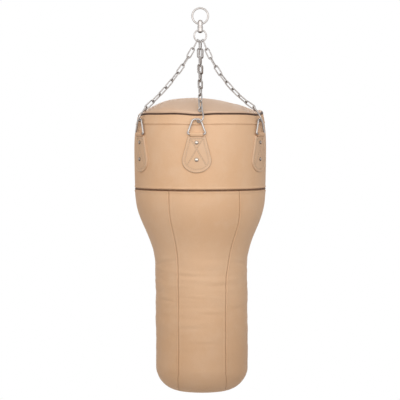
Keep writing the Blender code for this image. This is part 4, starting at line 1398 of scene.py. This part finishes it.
@dataclass
class Fastening:
    """One hook, dee ring and tab, all turned to their chain.

    hook_side is the side that the hook opens to, and catch the angle round the dee ring's top
    corner, from the middle of its top, at which the hook holds it.
    """

    maker: Maker
    form: BagForm
    work: Leatherwork
    name: str
    azimuth: float
    hook_side: int
    catch: float
    # How much the fastening's rivets are darkened all over.
    rivet_darkening: float
    hook_wire: float = 0.006
    hook_length: float = 0.056
    hook_eye_radius: float = 0.0084
    hook_loop_radius: float = 0.0160
    hook_lean: float = 31.0
    hook_turn: float = 42.0
    hook_tip_curl: float = -10.0
    dee_wire: float = 0.007
    dee_bar_length: float = 0.068
    dee_top: float = 0.028
    dee_height: float = 0.054
    dee_top_rounding: float = 0.012
    dee_bar_rounding: float = 0.005
    dee_lean: float = 1.0
    dee_bar_depth: float = 0.0745
    sleeve_length: float = 0.050
    sleeve_leather: float = 0.0020
    sleeve_drop: float = 0.0048
    thickness: float = 0.0048
    edge_rounding: float = 0.0034
    top_width: float = 0.073
    width: float = 0.111
    top_depth: float = 0.0795
    wide_depth: float = 0.172
    round_height: float = 0.0465
    border: float = 0.0125
    outer_row: float = 0.0048
    corner: float = 0.007
    corner_inset: float = 0.002
    rim_roll: Ridge = Ridge(0.0011, 0.0068, 0.0036)
    border_groove: Ridge = Ridge(-0.0012, 0.0, 0.0017)
    border_shade: Ridge = Ridge(0.52, 0.0, 0.0017)
    edge_shade: Ridge = Ridge(0.50, 0.0, 0.0014)
    cross_groove: Ridge = Ridge(-0.0009, 0.0, 0.0019)
    cross_shade: Ridge = Ridge(0.66, 0.0, 0.0019)
    cross_ends: tuple[float, ...] = (0.004, 0.004, 0.014, 0.010)
    rivet_depths: tuple[float, float] = (0.106, 0.169)
    rivet_diameter: float = 0.0145
    rivet_rise: float = 0.0035
    rivet_washer: float = 0.0005
    rivet_sink: float = 0.0006
    rivet_dent: Ridge = Ridge(-0.0008, 0.0, 0.009)
    rivet_shade: Ridge = Ridge(0.3, 0.0006, 0.0012)
    # A darker ring at the rivet's rim, partly tarnish and partly painted shade, and painted shade and
    # reflection on its lower side.
    rivet_tarnish_and_shade: tuple[Ridge, Ridge] = (Ridge(0.9, 1.0, 0.16), Ridge(0.7, 0.80, 0.38))
    unevenness: Ripple = Ripple(0.0004, 60.0, 2.0)
    cell: float = 0.0024
    rings: tuple[float, ...] = (
        0.0004, 0.0006, 0.0009, 0.0012, 0.0018, 0.0025, 0.0025, 0.0015, 0.0008, 0.0008, 0.0015)

    def __post_init__(self) -> None:
        """Works out the directions and places of the hook and the dee ring."""
        self.out, self.across = around(self.azimuth), around(self.azimuth + 90.0)
        lean, hook_turn, tilt = (math.radians(a) for a in (self.hook_lean, self.hook_turn, self.dee_lean))
        self.stem = self.out * math.sin(lean) - UP * math.cos(lean)
        away = self.out * math.cos(lean) + UP * math.sin(lean)
        self.opening = -self.hook_side * math.cos(hook_turn) * self.across - math.sin(hook_turn) * away
        self.dee_up = UP * math.cos(tilt) - self.out * math.sin(tilt)
        self.sleeve_radius = self.dee_wire / 2 + GAP + self.sleeve_leather
        bar_radius = self.form.band_radius(self.dee_bar_depth) + GAP + self.sleeve_radius
        self.dee_bar = self.out * bar_radius + UP * (self.form.rim_z - self.dee_bar_depth)
        caught, run = self.catch_point()
        normal = run.cross(self.opening).normalized()
        drop = ((self.dee_wire + self.hook_wire) / 2 + WIRE_GAP) / abs(normal.dot(self.stem))
        foot = caught + self.stem * (drop - (self.hook_wire + WIRE_GAP) / 2)
        self.hook_top = foot - self.opening * self.hook_loop_radius - self.stem * self.hook_length

    def catch_point(self) -> tuple[Vector, Vector]:
        """Gives where the hook catches the dee ring, and the ring wire's run there."""
        turn, side = math.radians(self.catch), self.hook_side
        half = (math.pi - math.atan2(self.dee_height, (self.dee_bar_length - self.dee_top) / 2)) / 2
        middle = self.dee_top / 2 - self.dee_top_rounding / math.tan(half) if turn else 0.0
        shift = side * (middle + self.dee_top_rounding * math.sin(turn))
        rise = self.dee_height - self.dee_top_rounding * (1 - math.cos(turn))
        run = self.across * math.cos(turn) - self.dee_up * side * math.sin(turn)
        return self.dee_bar + self.dee_up * rise + self.across * shift, run

    def add_steel(self, part: str, bm: Mesh) -> None:
        """Adds the hook or the dee ring."""
        node = f"{self.name}_{part}"
        self.maker.piece(f"{node}_steel", bm, self.maker.palette.steel, Slot.STEEL, [node])

    def build_hook(self) -> None:
        """Makes the hook, with its closed eye and its tapered tip."""
        seat = (self.hook_wire + WIRE_GAP) / 2
        eye_z = seat - self.hook_eye_radius
        loop_z = -self.hook_length - seat + self.hook_loop_radius
        eye, loop = self.hook_eye_radius, self.hook_loop_radius
        path = arc((loop, eye_z), eye, -110, 180, 40)
        shares = [i / 16 for i in range(1, 16)]
        path += [((loop - eye) * (1 + math.cos(math.pi * s)) / 2, eye_z + (loop_z - eye_z) * s)
                 for s in shares]
        path += arc((loop, loop_z), loop, 180, 360 + self.hook_tip_curl, 40)
        swell = [1.0] * len(path)
        for i, share in enumerate((0.45, 0.72, 0.86, 0.94, 0.98)):
            swell[-1 - i] = share
        bm = wire_mesh([Vector((x, 0.0, z)) for x, z in path], self.hook_wire, cyclic=False, swell=swell)
        bm.transform(placing(self.hook_top, self.opening, -self.stem))
        self.add_steel("hook", bm)

    def build_dee(self) -> None:
        """Makes the dee ring: a trapezoid of wire with rounded corners."""
        foot, top = self.dee_bar_length / 2, self.dee_top / 2
        at_foot, at_top = (0.0, self.dee_bar_rounding), (self.dee_height, self.dee_top_rounding)
        corners = [(-foot, *at_foot), (foot, *at_foot), (top, *at_top), (-top, *at_top)]
        path = []
        for i, (x, z, rounding) in enumerate(corners):
            corner = Vector((x, z))
            before = (Vector(corners[i - 1][:2]) - corner).normalized()
            after = (Vector(corners[(i + 1) % 4][:2]) - corner).normalized()
            half = before.angle(after) / 2
            centre = corner + (before + after).normalized() * rounding / math.sin(half)
            start = corner + before * rounding * math.cos(half) / math.sin(half) - centre
            sweep = math.pi - 2 * half
            for step in range(13):
                point = centre + Matrix.Rotation(sweep * step / 12, 2) @ start
                path.append(Vector((point.x, 0.0, point.y)))
        bm = wire_mesh(path, self.dee_wire)
        bm.transform(placing(self.dee_bar, self.across, self.dee_up))
        self.add_steel("dee_ring", bm)

    # -- tab

    def outline(self) -> list[Vector]:
        """Gives the tab's pear outline as (across, depth) points, anticlockwise seen from outside."""
        half_top, half_width = self.top_width / 2, self.width / 2
        stretch = half_width / self.round_height
        rise = (self.wide_depth - self.top_depth) * stretch
        tangent = math.atan2(rise, half_top) - math.acos(half_width / math.hypot(half_top, rise))
        tangent = math.degrees(tangent)
        foot = arc((0.0, self.wide_depth), half_width, tangent, -180 - tangent, 61, -self.round_height)
        side, top = half_top - self.corner_inset, self.top_depth + self.corner
        points = [(-side, top)] + arc((self.corner - side, top), self.corner, 180, 90, 6, -self.corner)[1:]
        points += arc((side - self.corner, top), self.corner, 90, 0, 6, -self.corner)
        return [Vector(p) for p in points + foot]

    def cross_rows(self) -> list[tuple[Vector, Vector]]:
        """Gives the two rows of the stitched cross, as (across, depth) ends."""
        over, in_top, under, in_foot = self.cross_ends
        top, foot = self.top_depth + self.border + over, self.wide_depth + under
        narrow, wide = self.top_width / 2 - self.border - in_top, self.width / 2 - self.border - in_foot
        return [(Vector((-side * narrow, top)), Vector((side * wide, foot))) for side in (1, -1)]

    def height(self, outline: Sequence[Vector], point: Vector) -> tuple[float, float]:
        """Gives the tab's height over the band and its painted shade at an (across, depth) point."""
        edge = min(off_run(point, first, outline[i - 1]) for i, first in enumerate(outline))
        rise = self.thickness
        if edge < self.edge_rounding:
            rise *= math.sqrt(max(1 - (1 - edge / self.edge_rounding) ** 2, 0.0))
        rise += self.rim_roll.at(edge) + self.border_groove.at(edge - self.border)
        # Painted shade in the border groove, along the tab's edge, in the stitched cross and round the
        # rivets.
        dark = self.border_shade.at(edge - self.border) + self.edge_shade.at(edge)
        for first, last in self.cross_rows():
            away = off_run(point, first, last)
            rise += self.cross_groove.at(away)
            dark = max(dark, self.cross_shade.at(away))
        for depth in self.rivet_depths:
            away = (point - Vector((0.0, depth))).length
            rise += self.rivet_dent.at(away)
            dark = max(dark, self.rivet_shade.at(away - self.rivet_diameter / 2))
        return rise + self.unevenness.at(Vector((point.x, point.y, self.azimuth))), dark

    def lay(self, across: float, depth: float, rise: float) -> Vector:
        """Gives the place of a point of the tab on the band."""
        azimuth = self.azimuth + math.degrees(across / self.form.belly_radius)
        radius = self.form.band_radius(depth) + self.work.band_rise(azimuth, depth) + GAP + rise
        return self.form.settle(azimuth, radius, -depth)

    def build_tab(self) -> None:
        """Makes the pear-shaped patch of doubled leather, tucked into the band along its edge."""
        outline = self.outline()
        bm = bmesh.new()
        crease = bm.verts.layers.float.new("crease")
        face = bm.faces.new([bm.verts.new((p.x, 0.0, -p.y)) for p in outline])
        for step in self.rings:
            bmesh.ops.inset_region(bm, faces=[face], thickness=step, use_even_offset=True)
        inner = [face]
        low = [min(v.co[i] for v in face.verts) for i in (0, 2)]
        high = [max(v.co[i] for v in face.verts) for i in (0, 2)]
        for axis, normal in ((0, (1, 0, 0)), (1, (0, 0, 1))):
            count = int((high[axis] - low[axis]) / self.cell)
            for k in range(1, count):
                level = low[axis] + (high[axis] - low[axis]) * k / count
                geom = list({e for f in inner for e in f.edges}) + list({v for f in inner for v in f.verts})
                place = tuple(level * n for n in normal)
                result = bmesh.ops.bisect_plane(bm, geom=inner + geom, plane_co=place, plane_no=normal)
                inner = [g for g in result["geom"] if isinstance(g, bmesh.types.BMFace)]
        front = bm.faces[:]
        back = bmesh.ops.duplicate(bm, geom=front)["geom"]
        back_faces = [g for g in back if isinstance(g, bmesh.types.BMFace)]
        back_points = {g for g in back if isinstance(g, bmesh.types.BMVert)}
        bmesh.ops.reverse_faces(bm, faces=back_faces)
        for vertex in bm.verts:
            point = Vector((vertex.co.x, -vertex.co.z))
            rise, dark = self.height(outline, point)
            if vertex.is_boundary:
                rise = -GAP
            elif vertex in back_points:
                rise, dark = 0.0, 0.0
            vertex.co = self.lay(point.x, point.y, rise - GAP)
            # The painted shade from height().
            vertex[crease] = min(dark, 1.0)
        bmesh.ops.remove_doubles(bm, verts=bm.verts[:], dist=1e-5)
        face_out(bm)
        self.maker.piece(f"{self.name}_tab_leather", bm, self.maker.palette.tab, Slot.LEATHER,
                         [f"{self.name}_tab"], sharp=70.0)

    def build_fold(self) -> None:
        """Makes the roll of leather round the dee ring's bar."""
        bm = bmesh.new()
        hole = self.dee_wire / 2 + GAP
        ends = [bm.verts.new((0.0, -r, 0.0)) for r in (hole, self.sleeve_radius)]
        edge = bm.edges.new(ends)
        bmesh.ops.spin(bm, geom=ends + [edge], cent=(0, 0, 0), axis=(1, 0, 0), angle=2 * math.pi, steps=40,
                       use_merge=True, use_duplicate=False)
        bmesh.ops.remove_doubles(bm, verts=bm.verts[:], dist=1e-6)
        skin = self.sleeve_radius - 0.0005
        for vertex in bm.verts:
            if vertex.co.yz.length > skin and vertex.co.z < 0:
                vertex.co.z -= self.sleeve_drop * (-vertex.co.z / self.sleeve_radius) ** 3
        half = self.sleeve_length / 2
        bmesh.ops.translate(bm, verts=bm.verts[:], vec=(-half, 0, 0))
        faces = bm.faces[:]
        moved = bmesh.ops.extrude_face_region(bm, geom=faces)["geom"]
        bmesh.ops.translate(bm, verts=[g for g in moved if isinstance(g, bmesh.types.BMVert)],
                            vec=(self.sleeve_length, 0, 0))
        face_out(bm)
        rims = [e for e in bm.edges if abs(abs(e.verts[0].co.x) - half) < 1e-6
                and abs(e.verts[0].co.x - e.verts[1].co.x) < 1e-6
                and all(v.co.yz.length > skin for v in e.verts)]
        bmesh.ops.bevel(bm, geom=rims, offset=0.0008, offset_type="OFFSET", segments=3, profile=0.5,
                        affect="EDGES", material=-1)
        for k in range(1, 14):
            bmesh.ops.bisect_plane(bm, geom=bm.verts[:] + bm.edges[:] + bm.faces[:],
                                   plane_co=(half * (k / 7 - 1) * 0.95, 0, 0), plane_no=(1, 0, 0))
        # Painted shade at the sleeve's ends and along the underside of the roll.
        mark(bm, "crease", lambda place: 0.6 * hump(abs(place.x) - half, 0.0012)
             + 0.75 * hump(place.z + self.sleeve_radius + self.sleeve_drop, 0.0030))
        for vertex in bm.verts:
            if vertex.co.yz.length > skin:
                vertex.co += vertex.co.normalized() * 0.0003 * swirl(vertex.co, 90.0, self.azimuth)
        bm.transform(placing(self.dee_bar, self.across, UP))
        self.maker.piece(f"{self.name}_tab_fold", bm, self.maker.palette.leather, Slot.LEATHER)

    def build_rivets(self) -> None:
        """Makes the two domed rivets, each on its thin washer."""
        radius, washer, sunk = self.rivet_diameter / 2, self.rivet_washer, self.rivet_sink
        foot = -2 * sunk
        profile = [(0.0, self.rivet_rise + sunk)]
        profile += arc((0.0, sunk), radius * 0.86, 90, 0, 14, self.rivet_rise)[1:]
        profile += arc((radius - washer, 0.0001), washer, 90, -90, 6) + [(radius - washer, foot), (0.0, foot)]
        # Painted shade on the rivet: a darker rim ring, partly tarnish, painted shade and reflection on its
        # lower side, and an even darkening of the whole rivet.
        edge, low = self.rivet_tarnish_and_shade
        for i, depth in enumerate(self.rivet_depths):
            bm = spun(profile, 40, closed=False)
            mark(bm, "tarnish_and_shade", lambda point: min(
                edge.at(polar(point)[1] / radius) + low.at(-point.y / radius) + self.rivet_darkening, 1.0))
            place = self.lay(0.0, depth, self.thickness - sunk)
            bm.transform(placing(place, self.across, self.out))
            self.maker.piece(f"{self.name}_rivet_{i + 1}", bm, self.maker.palette.rivet, Slot.STEEL)

    def build_stitching(self) -> None:
        """Makes the stitched border and cross of the tab."""
        outline = self.outline()
        sewing = Sewing(length=0.0058, pitch=0.0080, thickness=0.0015)

        def raised(point: Vector) -> Vector:
            """Gives a stitch's place on the tab."""
            rise, _ = self.height(outline, point)
            return self.lay(point.x, point.y, rise - GAP + 0.0003)

        rows = []
        for inset in (self.border, self.outer_row):
            border = []
            for i, point in enumerate(outline):
                run = (outline[(i + 1) % len(outline)] - outline[i - 1]).normalized()
                border.append(point + Vector((-run.y, run.x)) * inset)
            rows.append(border + border[:1])
        for first, last in self.cross_rows():
            rows.append([first.lerp(last, i / 40) for i in range(41)])
        for row in rows:
            sewing.row([raised(p) for p in row], [self.out] * len(row))
        self.maker.piece(f"{self.name}_tab_stitching", sewing.gather(), self.maker.palette.thread,
                         Slot.TEXTILE)

    def build(self) -> None:
        """Makes the hook, the dee ring and the tab with its sewing."""
        self.build_hook()
        self.build_dee()
        self.build_tab()
        self.build_fold()
        self.build_rivets()
        self.build_stitching()


# ---- Studio


@dataclass(frozen=True)
class SoftBox:
    """A soft box: where it hangs, what it points at, its width and height, and its watts."""

    name: str
    place: tuple[float, float, float]
    aim: tuple[float, float, float]
    size: tuple[float, float]
    power: float

    def hang(self) -> None:
        """Makes the lamp."""
        data = bpy.data.lights.new(self.name, "AREA")
        data.shape = "RECTANGLE"
        data.size, data.size_y = self.size
        data.energy = self.power
        lamp = placed(self.name, data)
        lamp.location = self.place
        point_at(lamp, self.aim)


def point_at(obj: bpy.types.Object, aim: Sequence[float]) -> float:
    """Points a camera or a lamp at a place, and gives its distance."""
    run = Vector(aim) - obj.location
    obj.rotation_mode = "QUATERNION"
    obj.rotation_quaternion = run.to_track_quat("-Z", "Y")
    return run.length


@dataclass
class Studio:
    """The floor, the soft light and the camera."""

    eye_height: float = -0.438
    distance: float = 7.0
    aim_height: float = -0.7235
    aim_side: float = -0.0008
    pixels_per_metre: float = 263.0
    frame_pixels: int = 400
    drop: float = 0.6
    floor_radius: float = 1.2
    daylight: float = 0.28
    boxes: tuple[SoftBox, ...] = (
        SoftBox("front_light", (0.1, -2.2, 0.1), (0.0, 0.0, -0.30), (2.4, 1.8), 31.0),
        SoftBox("left_light", (-1.8, -1.6, 0.1), (0.0, 0.0, -0.40), (2.0, 2.0), 15.5),
        SoftBox("right_light", (1.9, -1.6, 0.1), (0.0, 0.0, -0.40), (2.0, 2.0), 14.0),
        SoftBox("top_light", (0.0, -0.2, 1.5), (0.0, 0.0, -0.40), (2.0, 2.0), 6.0),
        SoftBox("back_light", (0.0, 2.6, 0.4), (0.0, 0.0, -0.40), (1.8, 1.4), 22.0))

    def build_camera(self) -> None:
        """Makes the camera at the photograph's viewing angle."""
        data = bpy.data.cameras.new("camera")
        camera = placed("camera", data)
        camera.location = (self.aim_side, -self.distance, self.eye_height)
        distance = point_at(camera, (self.aim_side, 0.0, self.aim_height))
        data.sensor_width = 36.0
        data.lens = self.pixels_per_metre * distance / self.frame_pixels * data.sensor_width
        bpy.context.scene.camera = camera

    def build_world(self) -> None:
        """Makes even daylight that the camera, metal and glass see as white."""
        world = bpy.data.worlds.new("studio")
        bpy.context.scene.world = world
        w = Wiring(world)
        rays = w.add("LightPath").outputs
        seen = rays["Is Camera Ray"]
        for kind in ("Is Glossy Ray", "Is Transmission Ray"):
            seen = w.add("Math", {0: seen, 1: rays[kind]}, operation="MAXIMUM").outputs["Value"]
        level = w.add("MapRange", {"Value": seen, "To Min": self.daylight})
        shade = w.tree.nodes["Background"].inputs
        w.feed(shade["Color"], (1.0, 1.0, 1.0, 1.0))
        w.feed(shade["Strength"], level.outputs["Result"])

    def build_floor(self) -> None:
        """Makes the pale floor under the hanging bag."""
        low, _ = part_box("base_disc")
        bm = bmesh.new()
        bmesh.ops.create_circle(bm, cap_ends=True, segments=96, radius=self.floor_radius,
                                matrix=Matrix.Translation((0, 0, low.z - self.drop)))
        mesh = bpy.data.meshes.new("floor")
        bm.to_mesh(mesh)
        bm.free()
        w = Finish("studio_floor")
        tone = w.blend(w.spread(w.cloud(3.0), 0.3, 0.7), (0.86, 0.86, 0.86), (0.88, 0.88, 0.88))
        w.set(Base_Color=tone, Roughness=0.8)
        mesh.materials.append(w.material)
        floor = placed("floor", mesh)

    def build(self) -> None:
        """Makes the whole studio."""
        self.build_camera()
        self.build_world()
        self.build_floor()
        for box in self.boxes:
            box.hang()
        bpy.context.scene.view_settings.view_transform = "Standard"


def main() -> None:
    """Builds the studio and the bag."""
    logging.basicConfig(level=logging.INFO, format="%(message)s")
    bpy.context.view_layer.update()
    Studio().build()
    maker = Maker(Palette())
    form = BagForm()
    WireRing(maker, "top_ring", Body.HANGER, TOP_RING_RADIUS, TOP_RING_WIRE, 100.0).build()
    WireRing(maker, "lower_ring", Body.CHAIN_RING, LOWER_RING_RADIUS, LOWER_RING_WIRE, 15.0).build()
    swivel = Swivel(maker)
    swivel.build_head()
    swivel.build_barrel()
    work = Leatherwork(maker, form)
    work.build()
    BagSewing(maker, work).build()
    # The last column is how much each fastening's rivets are darkened all over.
    for name, azimuth, side, catch, pitch, wear in (
            ("front", -3.0, 1, 38.0, 0.0383, 0.0), ("back", 180.0, 1, 0.0, 0.0379, 0.2),
            ("left", -63.0, 1, 0.0, 0.0375, 0.5), ("right", 62.0, -1, 0.0, 0.0379, 0.5)):
        Chain(maker, name, pitch).build()
        Fastening(maker, form, work, name, azimuth, side, catch, wear).build()
    LOG.info("%d pieces", maker.count)


if __name__ == "__main__":
    main()
